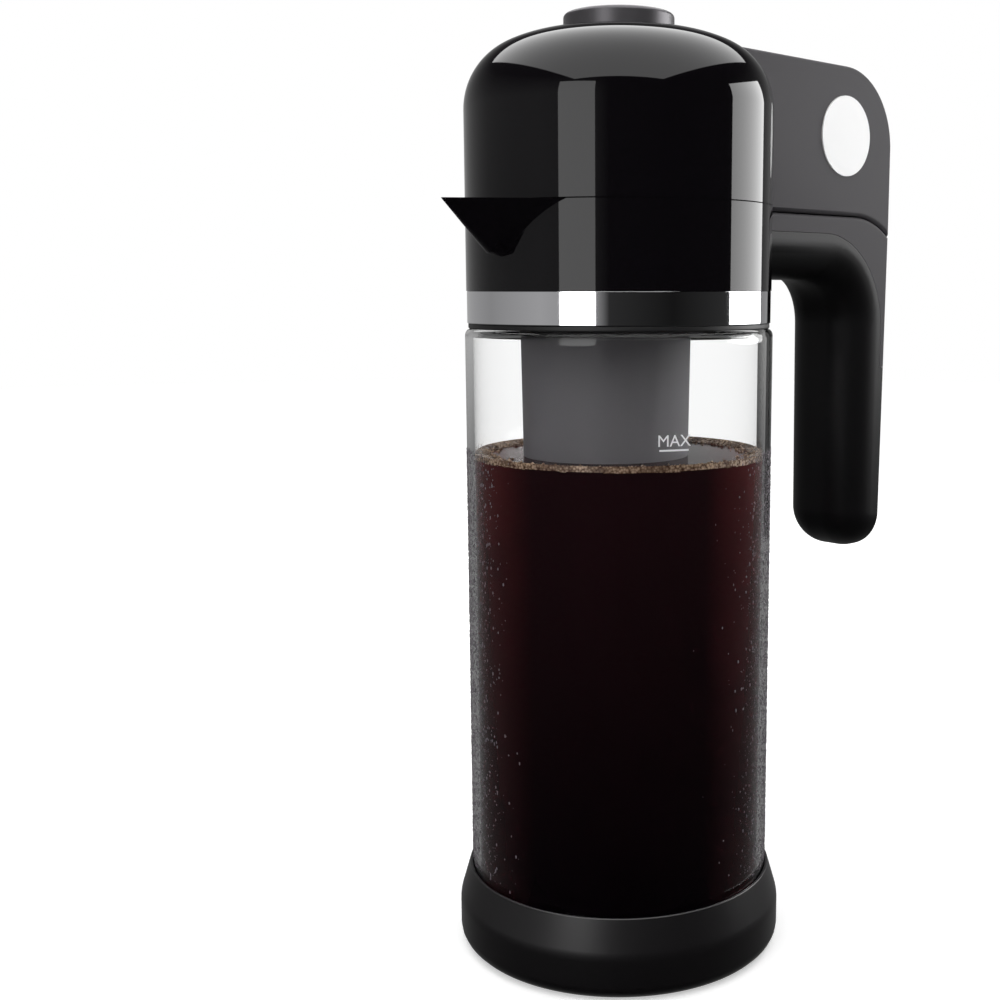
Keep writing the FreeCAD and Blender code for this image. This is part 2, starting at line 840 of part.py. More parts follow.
def make_grip():
    """The soft grip: the arm's underside, the bend and the upright bar with its rounded end."""
    body = new_body("handle_grip")
    top, outer, bow = bow_corners(S.handle_gap)
    end = S.grip_end_round
    bottom = S.handle_bottom_level
    root_reach = arm_root()
    strip_top = S.spine_end_level - S.handle_gap
    sketch = new_sketch(body, "side")
    draw(sketch, [
        (root_reach, S.arm_level),
        (S.grip_inner_reach - S.grip_bend, S.arm_level, -S.grip_bend),
        (S.grip_inner_reach, S.arm_level - S.grip_bend),
        (S.grip_inner_reach, bottom + end, end),
        (S.grip_inner_reach + end, bottom),
        (S.handle_back, bottom),
        (S.handle_back, strip_top),
        (outer, strip_top),
        (outer, top - bow, bow),
        (outer - bow, top),
        (root_reach, top),
    ])
    extrude(body, "bar", sketch, S.handle_width, both_ways=True)
    taper_sides(body)

    def palm_edge(edge):
        middle = middle_of(edge)
        at_side = abs(middle.y) > S.handle_foot_width.value / 2 - 0.5
        under_arm = abs(middle.z - S.arm_level.value) < 1e-4
        at_palm = middle.x < S.grip_inner_reach.value + 1e-4 and middle.z < S.arm_level.value
        at_end = middle.z < bottom.value + 1e-4
        return at_side and (under_arm or at_palm or at_end)

    def back_edge(edge):
        middle = middle_of(edge)
        return middle.x > S.handle_back.value - 1e-4 and middle.z < strip_top.value - 0.5

    palm_round = smaller(S.grip_round, S.grip_end_round - S.grip_round_margin)
    palm_round = smaller(palm_round, S.handle_foot_width / 2 - S.grip_round_margin)
    round_edges(body, "palm_edges", palm_round, palm_edge)
    round_edges(body, "back_edges", S.handle_edge_round, back_edge)
    cut_round_front(body, S.arm_level - 1, S.seam_level)
    gap = S.tongue_gap
    socket = new_sketch(body, "socket_profile")
    draw_box(socket, arm_root(), S.tongue_level - gap,
             S.collar_radius + S.tongue_reach + gap, S.grip_top_level)
    extrude(body, "socket", socket, S.tongue_width + gap * 2, cut=True, both_ways=True)
    head = S.handle_screw_head_radius + S.screw_gap
    seat = screw_seat_level()
    wells = new_sketch(body, "screw_wells", "XY_Plane", seat)
    shanks = new_sketch(body, "screw_shanks", "XY_Plane", S.tongue_level)
    for reach in (S.handle_screw_first, S.handle_screw_first + S.handle_screw_pitch):
        draw_circle(wells, reach, 0, head)
        draw_circle(shanks, reach, 0, S.handle_screw_radius + S.screw_gap)
    extrude(body, "wells", wells, seat - S.arm_level + 1, cut=True)
    extrude(body, "shank_bores", shanks, S.tongue_level - S.arm_level + 1, cut=True)


def screw_seat_level():
    """The level of the face that the handle screws' heads press on."""
    return S.tongue_level - S.tongue_gap - S.handle_screw_clamp


def make_handle_screws():
    """Two screws that hold the grip and shell to the collar's tongue."""
    seat = screw_seat_level()
    length = S.tongue_level - seat + S.handle_screw_grip
    screws = []
    for number, reach in enumerate(
        (S.handle_screw_first, S.handle_screw_first + S.handle_screw_pitch), start=1
    ):
        screws.append(screw(f"handle_screw{number}", S.handle_screw_head_radius,
                            S.handle_screw_head_height, S.handle_screw_radius, length,
                            reach, 0, seat))
    compound("handle_screws", screws)


# ---------------------------------------------------------------- filter column


def column_radius(level):
    """The column's outer radius at a level, from its draft."""
    return S.column_top_radius - (S.ledge_level - level) * tangent(S.column_draft)


def make_column():
    """The filter column: a drafted tube with a flange, a windowed cage and a bottom ring."""
    body = new_body("brew_column")
    flange_top = S.ledge_level + S.flange_thickness
    flange_radius = collar_bore() - S.flange_gap
    bottom = S.column_bottom_level + S.cap_floor
    tube = new_sketch(body, "flange_round", "XY_Plane", S.ledge_level)
    draw_circle(tube, S.column_offset, 0, flange_radius)
    extrude(body, "flange", tube, S.flange_thickness)
    revolve(body, "tube", [
        (0, bottom),
        (column_radius(bottom), bottom),
        (column_radius(S.ledge_level), flange_top),
        (0, flange_top),
    ])
    revolve(body, "bore", [
        (0, bottom - 1),
        (column_radius(bottom) - S.column_wall, bottom - 1),
        (column_radius(S.ledge_level) - S.column_wall, flange_top + 1),
        (0, flange_top + 1),
    ], cut=True)
    pour = new_sketch(body, "pour_holes", "XY_Plane", flange_top)
    for index in range(POUR_HOLES):
        x, y = around(S.pour_hole_circle, index, POUR_HOLES, 180.0)
        draw_circle(pour, x + S.column_offset, y, S.pour_hole_radius)
    draw_circle(pour, S.tube_offset + S.column_offset, 0, S.strainer_radius + S.strainer_pass)
    extrude(body, "pours", pour, S.flange_thickness, cut=True)
    low = bottom + S.cap_height + S.column_window_gap
    middle = (low + S.column_band_level) / 2
    half_gap = S.column_window_gap / 2
    half = S.column_window_width / 2
    window = new_sketch(body, "window_profile", "YZ_Plane")
    draw_box(window, -half, low, half, middle - half_gap)
    draw_box(window, -half, middle + half_gap, half, S.column_band_level)
    cut = extrude(body, "window", window, S.column_top_radius + 1, cut=True, reverse=True)
    polar(body, "windows", [cut], COLUMN_WINDOWS)
    place(body, x=-S.column_offset)


def make_mesh_sleeve():
    """The fine steel mesh inside the column, with a lip on the flange and a closed bottom."""
    body = new_body("mesh_sleeve")
    bottom = S.column_bottom_level + S.cap_floor + S.mesh_gap
    top = S.ledge_level + S.flange_thickness
    inset = S.column_wall + S.mesh_gap
    low_radius = column_radius(bottom) - inset
    high_radius = column_radius(S.ledge_level) - inset
    revolve(body, "wall", [
        (0, bottom),
        (low_radius, bottom),
        (high_radius, top),
        (high_radius + S.mesh_lip_width, top),
        (high_radius + S.mesh_lip_width, top + S.mesh_wall),
        (high_radius - S.mesh_wall, top + S.mesh_wall),
        (low_radius - S.mesh_wall, bottom + S.mesh_wall),
        (0, bottom + S.mesh_wall),
    ])
    place(body, x=-S.column_offset)


def make_column_cap():
    """The cap that closes the column's foot from below and outside."""
    body = new_body("column_cap")
    seat = S.column_bottom_level + S.cap_floor
    inner = column_radius(seat + S.cap_height) + S.mesh_gap
    outer = inner + S.column_wall
    revolve(body, "cup", [
        (0, S.column_bottom_level),
        (outer - S.cap_floor, S.column_bottom_level, S.cap_floor),
        (outer, seat),
        (outer, seat + S.cap_height),
        (inner, seat + S.cap_height),
        (inner, seat),
        (0, seat),
    ])
    place(body, x=-S.column_offset)


# ---------------------------------------------------------------- brew head


def dome_points():
    """The dome's outer profile: where the shoulder ends, the crown's radius and the top's level."""
    centre = S.dome_radius - S.shoulder_round
    turn_radius = centre + S.shoulder_round * cosine(S.shoulder_angle)
    turn_level = S.shoulder_level + S.shoulder_round * sine(S.shoulder_angle)
    hole = S.button_radius + S.button_gap
    crown = (turn_radius - hole) / cosine(S.shoulder_angle)
    top = turn_level + crown * (measure(1) - sine(S.shoulder_angle))
    return turn_radius, turn_level, hole, crown, top


def dome_top_level():
    """The level of the dome's top, at the rim of the button's hole."""
    return dome_points()[4]


def make_dome():
    """The dome shell, with a hole for the button, bosses for screws and a window to the housing."""
    body = new_body("dome_cover")
    turn_radius, turn_level, hole, crown, top = dome_points()
    wall = S.dome_wall
    bore = S.dome_radius - wall
    revolve(body, "shell", [
        (bore, S.seam_level),
        (S.dome_radius, S.seam_level),
        (S.dome_radius, S.shoulder_level, S.shoulder_round),
        (turn_radius, turn_level, crown),
        (hole, top),
        (hole, top - wall, -(crown - wall)),
        (turn_radius - wall * cosine(S.shoulder_angle),
         turn_level - wall * sine(S.shoulder_angle), -(S.shoulder_round - wall)),
        (bore, S.shoulder_level),
    ])
    plate_top = head_plate_top()
    bosses = new_sketch(body, "boss_rounds", "XY_Plane", plate_top)
    for index in range(BASE_SCREWS):
        x, y = around(S.base_screw_circle, index, BASE_SCREWS, 45.0)
        draw_circle(bosses, x, y, S.dome_boss_radius)
    extrude(body, "bosses", bosses, S.dome_boss_height)
    posts = new_sketch(body, "post_rounds", "XY_Plane", button_plate_top())
    for index in range(PLATE_SCREWS):
        x, y = around(S.plate_screw_circle, index, PLATE_SCREWS, 180.0)
        draw_circle(posts, x, y, S.plate_boss_radius)
    extrude(body, "posts", posts, top - wall * 0.5 - button_plate_top())
    bores = new_sketch(body, "boss_bores", "XY_Plane", plate_top)
    for index in range(BASE_SCREWS):
        x, y = around(S.base_screw_circle, index, BASE_SCREWS, 45.0)
        draw_circle(bores, x, y, S.base_screw_radius + S.screw_gap)
    extrude(body, "boss_holes", bores, S.base_screw_grip + S.boss_hole_spare, cut=True, reverse=True)
    pilots = new_sketch(body, "post_bores", "XY_Plane", button_plate_top())
    for index in range(PLATE_SCREWS):
        x, y = around(S.plate_screw_circle, index, PLATE_SCREWS, 180.0)
        draw_circle(pilots, x, y, S.plate_screw_radius + S.screw_gap)
    extrude(body, "post_holes", pilots, S.plate_screw_grip + S.screw_gap, cut=True, reverse=True)
    window = new_sketch(body, "window_profile", "YZ_Plane")
    half = S.window_width / 2
    draw_box(window, -half, S.window_level, half, S.window_level + S.window_height)
    extrude(body, "window", window, S.dome_radius + 1, cut=True, reverse=True)


def head_plate_top():
    """The level of the head plate's upper face."""
    return S.seam_level + S.head_plate_thickness


def button_plate_top():
    """The level of the switch plate's upper face, set by the button's parts above it."""
    flange_bottom = dome_top_level() - S.dome_wall - S.button_rest_gap - S.button_flange
    return flange_bottom - S.plunger_length - S.plunger_room - S.button_travel - S.switch_floor


def plug_radius():
    """The outer radius of the head's plug."""
    return collar_bore() - S.plug_gap


def make_head_base():
    """The plate that closes the dome, with a plug that fits the collar and a groove for the seal."""
    body = new_body("head_base")
    plug = plug_radius()
    plug_bore = plug - S.plug_width
    bottom = S.seam_level - S.plug_depth
    groove_top = S.seam_level - S.gasket_drop
    groove_bottom = groove_top - S.gasket_height
    groove = plug - S.gasket_groove
    plate_radius = S.dome_radius - S.dome_wall - S.head_plate_gap
    top = head_plate_top()
    revolve(body, "plate", [
        (0, S.seam_level),
        (plug_bore, S.seam_level),
        (plug_bore, bottom),
        (plug, bottom),
        (plug, groove_bottom),
        (groove, groove_bottom),
        (groove, groove_top),
        (plug, groove_top),
        (plug, S.seam_level + S.head_plate_step),
        (plate_radius, S.seam_level + S.head_plate_step),
        (plate_radius, top),
        (0, top),
    ])
    holes = new_sketch(body, "pipe_holes", "XY_Plane", top)
    draw_circle(holes, S.tube_offset, 0, S.grommet_radius - S.grommet_lip)
    draw_circle(holes, -S.column_offset, 0, S.tube_radius + S.hose_gap)
    extrude(body, "pipe_bores", holes, S.head_plate_thickness, cut=True)
    shanks = new_sketch(body, "screw_rounds", "XY_Plane", top)
    wells = new_sketch(body, "screw_wells", "XY_Plane", bottom + S.base_screw_head_height)
    for index in range(BASE_SCREWS):
        x, y = around(S.base_screw_circle, index, BASE_SCREWS, 45.0)
        draw_circle(shanks, x, y, S.base_screw_radius + S.screw_gap)
        draw_circle(wells, x, y, S.base_screw_head_radius + S.screw_gap)
    extrude(body, "screw_bores", shanks, S.plug_depth + S.head_plate_thickness + 1, cut=True)
    extrude(body, "screw_pockets", wells, S.base_screw_head_height + 1, cut=True)


def make_head_gasket():
    """The soft ring in the plug's groove."""
    plug = plug_radius()
    top = S.seam_level - S.gasket_drop
    ring("head_gasket", plug - S.gasket_groove + S.screw_gap, collar_bore() - S.gasket_gap,
         top - S.gasket_height + S.screw_gap, top - S.screw_gap)


def make_base_screws():
    """The screws that hold the base plate up against the dome's bosses."""
    seat = S.seam_level - S.plug_depth + S.base_screw_head_height
    length = S.plug_depth + S.head_plate_thickness + S.base_screw_grip - S.base_screw_head_height
    screws = []
    for index in range(BASE_SCREWS):
        x, y = around(S.base_screw_circle, index, BASE_SCREWS, 45.0)
        screws.append(screw(f"base_screw{index + 1}", S.base_screw_head_radius,
                            S.base_screw_head_height, S.base_screw_radius, length, x, y, seat))
    compound("base_screws", screws)


def make_suction_tube():
    """The straight tube that draws brew from the carafe's floor, and its strainer and grommet."""
    low = S.strainer_level + S.strainer_seat + S.strainer_gap
    tube = ring("suction_tube", S.tube_bore, S.tube_radius, low, S.tube_top_level)
    place(tube, x=S.tube_offset)
    strainer = new_body("intake_strainer")
    wall_bore = S.tube_radius + S.hose_gap
    top = S.strainer_level + S.strainer_height
    floor = S.strainer_level + S.strainer_floor
    step = S.strainer_level + S.strainer_seat
    revolve(strainer, "cap", [
        (0, S.strainer_level),
        (S.strainer_radius, S.strainer_level),
        (S.strainer_radius, top),
        (wall_bore, top),
        (wall_bore, step),
        (S.tube_bore, step),
        (S.tube_bore, floor),
        (0, floor),
    ])
    slot = new_sketch(strainer, "slot_profile", "YZ_Plane")
    draw_box(slot, -S.strainer_slot / 2, floor, S.strainer_slot / 2,
             step - S.strainer_slot_inset)
    cut = extrude(strainer, "slot", slot, S.strainer_radius + 1, cut=True, reverse=True)
    polar(strainer, "slots", [cut], STRAINER_SLOTS)
    place(strainer, x=S.tube_offset)
    grommet = new_body("tube_grommet")
    neck = S.grommet_radius - S.grommet_lip - S.screw_gap
    bore = S.tube_radius + S.hose_gap
    top = head_plate_top()
    revolve(grommet, "ring", [
        (bore, S.seam_level - S.grommet_lip),
        (S.grommet_radius, S.seam_level - S.grommet_lip),
        (S.grommet_radius, S.seam_level),
        (neck, S.seam_level),
        (neck, top),
        (S.grommet_radius, top),
        (S.grommet_radius, top + S.grommet_lip),
        (bore, top + S.grommet_lip),
    ])
    place(grommet, x=S.tube_offset)


def make_hose(label, end_offset, end_level, level):
    """A hose from a pump nozzle that runs towards -X, turns down and ends on an upright tube."""
    body = new_body(label)
    start = S.motor_reach - S.volute_length - S.housing_gap
    bend = S.hose_bend
    spine = new_sketch(body, "route")
    draw(spine, [
        (start, level),
        (end_offset + bend, level, bend),
        (end_offset, level - bend),
        (end_offset, end_level),
    ], closed=False)
    section = new_sketch(body, "section", "YZ_Plane", start)
    bore = S.tube_radius + S.hose_gap
    draw_circle(section, 0, level, bore + S.hose_wall)
    draw_circle(section, 0, level, bore)
    pipe = body.newObject("PartDesign::AdditivePipe", f"{label}_pipe")
    pipe.Profile = section
    pipe.Spine = (spine, ["Edge1", "Edge2", "Edge3"])
    return body


def make_hoses():
    """The suction hose and the delivery hose between the pump and the base plate."""
    plate = head_plate_top()
    make_hose("suction_hose", S.tube_offset, plate + S.grommet_lip + S.hose_gap, S.motor_level)
    make_hose("delivery_hose", -S.column_offset, plate + S.hose_gap,
              S.motor_level + S.outlet_offset)


def make_spray_head():
    """The round spray cup under the base plate, over the filter column's mouth."""
    body = new_body("spray_head")
    top = S.seam_level - S.hose_gap
    bottom = top - S.spray_height
    wall = S.spray_wall
    stub_top = head_plate_top() + S.spray_stub_height
    revolve(body, "cup", [
        (0, bottom),
        (S.spray_radius, bottom),
        (S.spray_radius, top),
        (S.tube_radius, top),
        (S.tube_radius, stub_top),
        (S.tube_bore, stub_top),
        (S.tube_bore, top - wall),
        (S.spray_radius - wall, top - wall),
        (S.spray_radius - wall, bottom + wall),
        (0, bottom + wall),
    ])
    holes = new_sketch(body, "hole_rounds", "XY_Plane", bottom + wall)
    draw_circle(holes, 0, 0, S.spray_hole_radius)
    rings = ((S.spray_inner_ring, SPRAY_RING_HOLES), (S.spray_outer_ring, 2 * SPRAY_RING_HOLES))
    for circle, count in rings:
        for index in range(count):
            x, y = around(circle, index, count)
            draw_circle(holes, x, y, S.spray_hole_radius)
    extrude(body, "holes", holes, wall, cut=True)
    place(body, x=-S.column_offset)


# ---------------------------------------------------------------- rear housing


def housing_outline(inset, low_corners):
    """The housing's side outline, drawn inwards by inset above its lower corners."""
    back = S.handle_back - inset
    top = S.housing_top_level - inset
    corner = S.housing_corner - inset
    return low_corners + [
        (back, top - corner, corner),
        (back - corner, top),
        (S.housing_front, top),
    ]


def make_housing():
    """The rear housing: a deep shell behind the dome, open towards it, with a lip over the handle."""
    body = new_body("rear_housing")
    seam = S.seam_level + S.seam_gap
    side = new_sketch(body, "side")
    draw(side, housing_outline(measure(0), [
        (S.housing_front, seam),
        (S.handle_back - S.seam_corner, seam, -S.seam_bend),
        (S.handle_back, seam - S.seam_drop),
    ]))
    extrude(body, "block", side, S.handle_width, both_ways=True)

    def outer_edge(edge):
        middle = middle_of(edge)
        at_side = abs(abs(middle.y) - S.handle_width.value / 2) < 1e-4
        return at_side and middle.x > S.housing_front.value + 1

    round_edges(body, "soft_edges", S.housing_edge_round, outer_edge)
    turn_radius, turn_level, hole, crown, top = dome_points()
    gap = S.housing_gap
    revolve(body, "front", [
        (0, seam - 1),
        (S.dome_radius + gap, seam - 1),
        (S.dome_radius + gap, S.shoulder_level, S.shoulder_round + gap),
        (turn_radius + gap * cosine(S.shoulder_angle), turn_level + gap * sine(S.shoulder_angle),
         crown + gap),
        (hole, top + gap),
        (0, top + gap),
    ], cut=True)
    cavity = new_sketch(body, "cavity_side")
    draw(cavity, housing_outline(S.housing_wall, [
        (S.housing_front - 1, S.housing_floor),
        (S.handle_back - S.housing_wall, S.housing_floor),
    ]))
    extrude(body, "cavity", cavity, S.handle_width - S.housing_wall * 2, cut=True, both_ways=True)
    recess = new_sketch(body, "badge_round", "XZ_Plane", S.handle_width / 2)
    draw_circle(recess, S.badge_reach, S.badge_level, S.badge_radius + S.badge_gap)
    extrude(body, "badge_recess", recess, S.badge_recess, cut=True)
    openings = new_sketch(body, "back_openings", "YZ_Plane", S.handle_back)
    draw_circle(openings, 0, S.socket_level, S.inlet_radius)
    draw_circle(openings, 0, S.light_level, S.light_radius + S.light_gap)
    extrude(body, "back_holes", openings, S.housing_wall, cut=True)


def make_badge():
    """The round white badge in its recess, left bare."""
    body = new_body("badge_disc")
    face = S.handle_width / 2 - S.badge_recess
    sketch = new_sketch(body, "round", "XZ_Plane", face)
    draw_circle(sketch, S.badge_reach, S.badge_level, S.badge_radius)
    extrude(body, "disc", sketch, S.badge_recess + S.badge_proud)


FACING_FRONT = FreeCAD.Rotation(VECTOR(0, 1, 0), -90)


def drive_place(item):
    """Puts a piece drawn about its own Z axis on the motor's line, facing the dome."""
    place(item, x=S.motor_reach, z=S.motor_level, rotation=FACING_FRONT)


def make_motor():
    """The motor's can and the three pieces that turn in it."""
    can = new_body("motor_can")
    bush = S.shaft_radius + S.shaft_gap
    wall = S.motor_wall
    revolve(can, "can", [
        (bush, -S.motor_length),
        (S.motor_radius, -S.motor_length),
        (S.motor_radius, 0),
        (bush, 0),
        (bush, -wall),
        (S.motor_radius - wall, -wall),
        (S.motor_radius - wall, wall - S.motor_length),
        (bush, wall - S.motor_length),
    ])
    drive_place(can)
    armature = ring("motor_armature", bush, S.armature_radius,
                    S.armature_clearance - S.motor_length, -S.armature_clearance)
    drive_place(armature)
    shaft = new_body("motor_shaft")
    tip = S.volute_wall + S.impeller_gap + impeller_height() - S.shaft_tip_cover
    rear = S.motor_length + S.motor_wall
    revolve(shaft, "rod", [
        (0, -rear), (S.shaft_radius, -rear), (S.shaft_radius, tip), (0, tip),
    ])
    drive_place(shaft)


def impeller_height():
    """The impeller's height between the volute's two end walls."""
    return S.volute_length - S.volute_wall * 2 - S.impeller_gap * 2


def make_impeller():
    """The pump's impeller: a disc, a hub and straight blades."""
    body = new_body("pump_impeller")
    low = S.volute_wall + S.impeller_gap + S.housing_gap
    high = low + impeller_height() - S.housing_gap
    disc_top = low + S.impeller_blade
    rim = S.volute_radius - S.volute_wall - S.impeller_gap
    bore = S.shaft_radius + S.shaft_gap
    revolve(body, "disc", [
        (bore, low), (rim, low), (rim, disc_top), (S.impeller_hub_radius, disc_top),
        (S.impeller_hub_radius, high), (0, high), (0, high - S.impeller_cap),
        (bore, high - S.impeller_cap),
    ])
    blade = new_sketch(body, "blade_plan", "XY_Plane", disc_top)
    half = S.impeller_blade / 2
    draw_box(blade, S.impeller_hub_radius - half, -half, rim, half)
    pad = extrude(body, "blade", blade, high - disc_top - S.impeller_cap)
    polar(body, "blades", [pad], IMPELLER_BLADES)
    drive_place(body)


def make_volute():
    """The pump's body: a round chamber on the motor's face with two nozzles towards the dome."""
    body = new_body("pump_volute")
    low = S.housing_gap
    high = S.volute_length
    wall = S.volute_wall
    bush = S.shaft_radius + S.shaft_gap
    tip = high + S.nozzle_length
    inner = S.volute_radius - wall
    revolve(body, "chamber", [
        (bush, low),
        (S.volute_radius, low),
        (S.volute_radius, high),
        (S.tube_radius, high),
        (S.tube_radius, tip),
        (S.tube_bore, tip),
        (S.tube_bore, high - wall),
        (inner, high - wall),
        (inner, low + wall),
        (bush, low + wall),
    ])
    outlet = new_sketch(body, "outlet_round", "XY_Plane", high - wall)
    draw_circle(outlet, S.outlet_offset, 0, S.tube_radius)
    extrude(body, "outlet", outlet, wall + S.nozzle_length)
    bore = new_sketch(body, "outlet_bore", "XY_Plane", tip)
    draw_circle(bore, S.outlet_offset, 0, S.tube_bore)
    extrude(body, "outlet_hole", bore, S.nozzle_length + wall, cut=True)
    drive_place(body)


def make_cradle():
    """The saddle on the housing's floor that carries the motor."""
    body = new_body("motor_cradle")
    half = S.motor_radius + S.cradle_lip
    drop = S.motor_level - S.housing_floor
    start = S.motor_reach + S.motor_length / 2 - S.cradle_length / 2
    sketch = new_sketch(body, "front", "YZ_Plane", start)
    round_radius = S.motor_radius + S.cradle_gap
    edge = S.cradle_reach
    dip = root(round_radius * round_radius - edge * edge)
    draw(sketch, [
        (-half, -drop),
        (half, -drop),
        (half, -dip),
        (edge, -dip, -round_radius),
        (0, -round_radius, -round_radius),
        (-edge, -dip),
        (-half, -dip),
    ])
    extrude(body, "saddle", sketch, S.cradle_length)
    place(body, z=S.motor_level)


def board_floor():
    """The level of the control board's lower edge."""
    return S.housing_floor + S.board_seat


def make_control_board():
    """The control board, upright behind the motor, and the parts soldered on it."""
    board = DOC.addObject("Part::Box", "control_board")
    board.Label = "control_board"
    PARTS.append(board)
    bind(board, "Length", S.board_thickness)
    bind(board, "Width", S.board_width)
    bind(board, "Height", S.board_height)
    place(board, x=S.board_reach, y=-S.board_width / 2, z=board_floor())
    back = S.board_reach + S.board_thickness
    near, far = -S.chip_spread / 2, S.chip_spread / 2
    parts = []
    for name, depth, side, rise in (
        ("driver_chip", S.chip_depth, near, S.chip_rise),
        ("logic_chip", S.chip_depth, far, S.chip_rise),
        ("relay_block", S.block_depth, near, S.block_rise),
        ("coil_block", S.block_depth, far, S.block_rise),
    ):
        chip = DOC.addObject("Part::Box", name)
        bind(chip, "Length", depth)
        bind(chip, "Width", S.chip_width)
        bind(chip, "Height", S.chip_height)
        place(chip, x=back, y=side - S.chip_width / 2, z=board_floor() + rise)
        parts.append(chip)
    compound("board_parts", parts)


def make_power_socket():
    """The round low-voltage inlet in the back wall, with its centre pin."""
    body = new_body("power_socket")
    wall = S.handle_back - S.housing_wall - S.socket_seat
    front = S.board_reach + S.board_thickness
    half = S.socket_width / 2
    block = new_sketch(body, "plan", "YZ_Plane", front)
    draw_box(block, -half, S.socket_level - half, half, S.socket_level + half)
    extrude(body, "block", block, wall - front)
    bore = new_sketch(body, "bore_round", "YZ_Plane", wall)
    draw_circle(bore, 0, S.socket_level, S.socket_bore)
    extrude(body, "bore", bore, S.socket_pocket, cut=True)
    pin = new_sketch(body, "pin_round", "YZ_Plane", wall - S.socket_pocket)
    draw_circle(pin, 0, S.socket_level, S.socket_pin_radius)
    extrude(body, "pin", pin, S.socket_pocket - S.socket_pin_inset)


def make_status_light():
    """The clear light pipe that shows through the back wall."""
    body = new_body("status_light")
    front = S.board_reach + S.board_thickness + S.board_seat
    sketch = new_sketch(body, "round", "YZ_Plane", front)
    draw_circle(sketch, 0, S.light_level, S.light_radius)
    extrude(body, "pipe", sketch, S.handle_back + S.light_proud - front)


# ---------------------------------------------------------------- button


def make_button():
    """The round button in the dome's top: a cap with a skirt, a flange under the dome and a stem."""
    body = new_body("top_button")
    under_dome = dome_top_level() - S.dome_wall - S.button_rest_gap
    flange_bottom = under_dome - S.button_flange
    inner = S.button_radius - S.button_wall
    flange = S.button_radius + S.button_flange_width
    button_level = dome_top_level() + S.button_proud
    cap_bottom = button_level - S.button_wall
    edge = S.button_edge_round
    revolve(body, "cap", [
        (0, cap_bottom),
        (inner, cap_bottom),
        (inner, flange_bottom),
        (flange, flange_bottom),
        (flange, under_dome),
        (S.button_radius, under_dome),
        (S.button_radius, button_level - edge, edge),
        (S.button_radius - edge, button_level),
        (0, button_level),
    ])
    stem = new_sketch(body, "stem_round", "XY_Plane", flange_bottom)
    draw_circle(stem, 0, 0, S.button_stem_radius)
    extrude(body, "stem", stem, cap_bottom - flange_bottom)


def make_switch():
    """The switch under the button: its plate, screws, housing and the plunger that it holds."""
    plate_top = button_plate_top()
    plate_bottom = plate_top - S.plate_thickness
    plate = new_body("switch_plate")
    revolve(plate, "disc", [
        (0, plate_bottom),
        (S.plate_radius, plate_bottom),
        (S.plate_radius, plate_top),
        (0, plate_top),
    ])
    holes = new_sketch(plate, "screw_rounds", "XY_Plane", plate_top)
    screws = []
    for index in range(PLATE_SCREWS):
        x, y = around(S.plate_screw_circle, index, PLATE_SCREWS, 180.0)
        draw_circle(holes, x, y, S.plate_screw_radius + S.screw_gap)
        screws.append(screw(f"plate_screw{index + 1}", S.plate_screw_head_radius,
                            S.plate_screw_head_height, S.plate_screw_radius,
                            S.plate_thickness + S.plate_screw_grip, x, y, plate_bottom))
    extrude(plate, "screw_holes", holes, S.plate_thickness, cut=True)
    compound("plate_screws", screws)
    switch = new_body("press_switch")
    half = S.switch_width / 2
    plan = new_sketch(switch, "plan", "XY_Plane", plate_top)
    draw_box(plan, -half, -half, half, half)
    extrude(switch, "block", plan, S.switch_height)
    well = new_sketch(switch, "well_round", "XY_Plane", plate_top + S.switch_height)
    draw_circle(well, 0, 0, S.plunger_radius + S.plunger_gap)
    extrude(switch, "well", well, S.switch_height - S.switch_floor, cut=True)
    plunger = new_body("switch_plunger")
    low = plate_top + S.switch_floor + S.button_travel + S.plunger_room
    high = low + S.plunger_length
    revolve(plunger, "pin", [
        (0, low), (S.plunger_radius, low), (S.plunger_radius, high), (0, high),
    ])


# ---------------------------------------------------------------- build, check and write


def build_model():
    """Builds every sub-part."""
    make_boot()
    make_glass()
    make_neck_rings()
    make_collar()
    make_handle_shell()
    make_grip()
    make_handle_screws()
    make_column()
    make_mesh_sleeve()
    make_column_cap()
    make_dome()
    make_head_base()
    make_head_gasket()
    make_base_screws()
    make_suction_tube()
    make_hoses()
    make_spray_head()
    make_housing()
    make_badge()
    make_motor()
    make_impeller()
    make_volute()
    make_cradle()
    make_control_board()
    make_power_socket()
    make_status_light()
    make_button()
    make_switch()
    DOC.recompute()


def check_model():
    """Stops if an object failed to build or a sub-part has no valid shape."""
    for item in DOC.Objects:
        if "Invalid" in item.State or "Error" in item.State:
            raise RuntimeError(f"{item.Label} failed: {item.State}")
    for part in PARTS:
        if part.Shape.isNull() or not part.Shape.isValid():
            raise RuntimeError(f"{part.Label} has no valid shape")


def write_parts():
    """Writes one STEP file for each sub-part."""
    os.makedirs("parts", exist_ok=True)
    for part in PARTS:
        part.Shape.exportStep(f"parts/{part.Label}.step")
        print(f"{part.Label}: {len(part.Shape.Solids)} solid(s), {part.Shape.Volume:.1f} mm3")


build_model()
check_model()
write_parts()
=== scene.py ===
"""Looks of a cold brew coffee maker: a glass carafe in a soft boot, a spouted collar with a steel
band, a filter column, a domed brew head with a round button and a grip behind it.

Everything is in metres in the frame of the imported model: origin under the boot, +Z up, +X towards
the handle.
"""
import json
import logging
import math
import random
from dataclasses import dataclass, field
from enum import Enum
from typing import Callable, ClassVar, Iterable

import bmesh
import bpy
from mathutils import Matrix, Vector


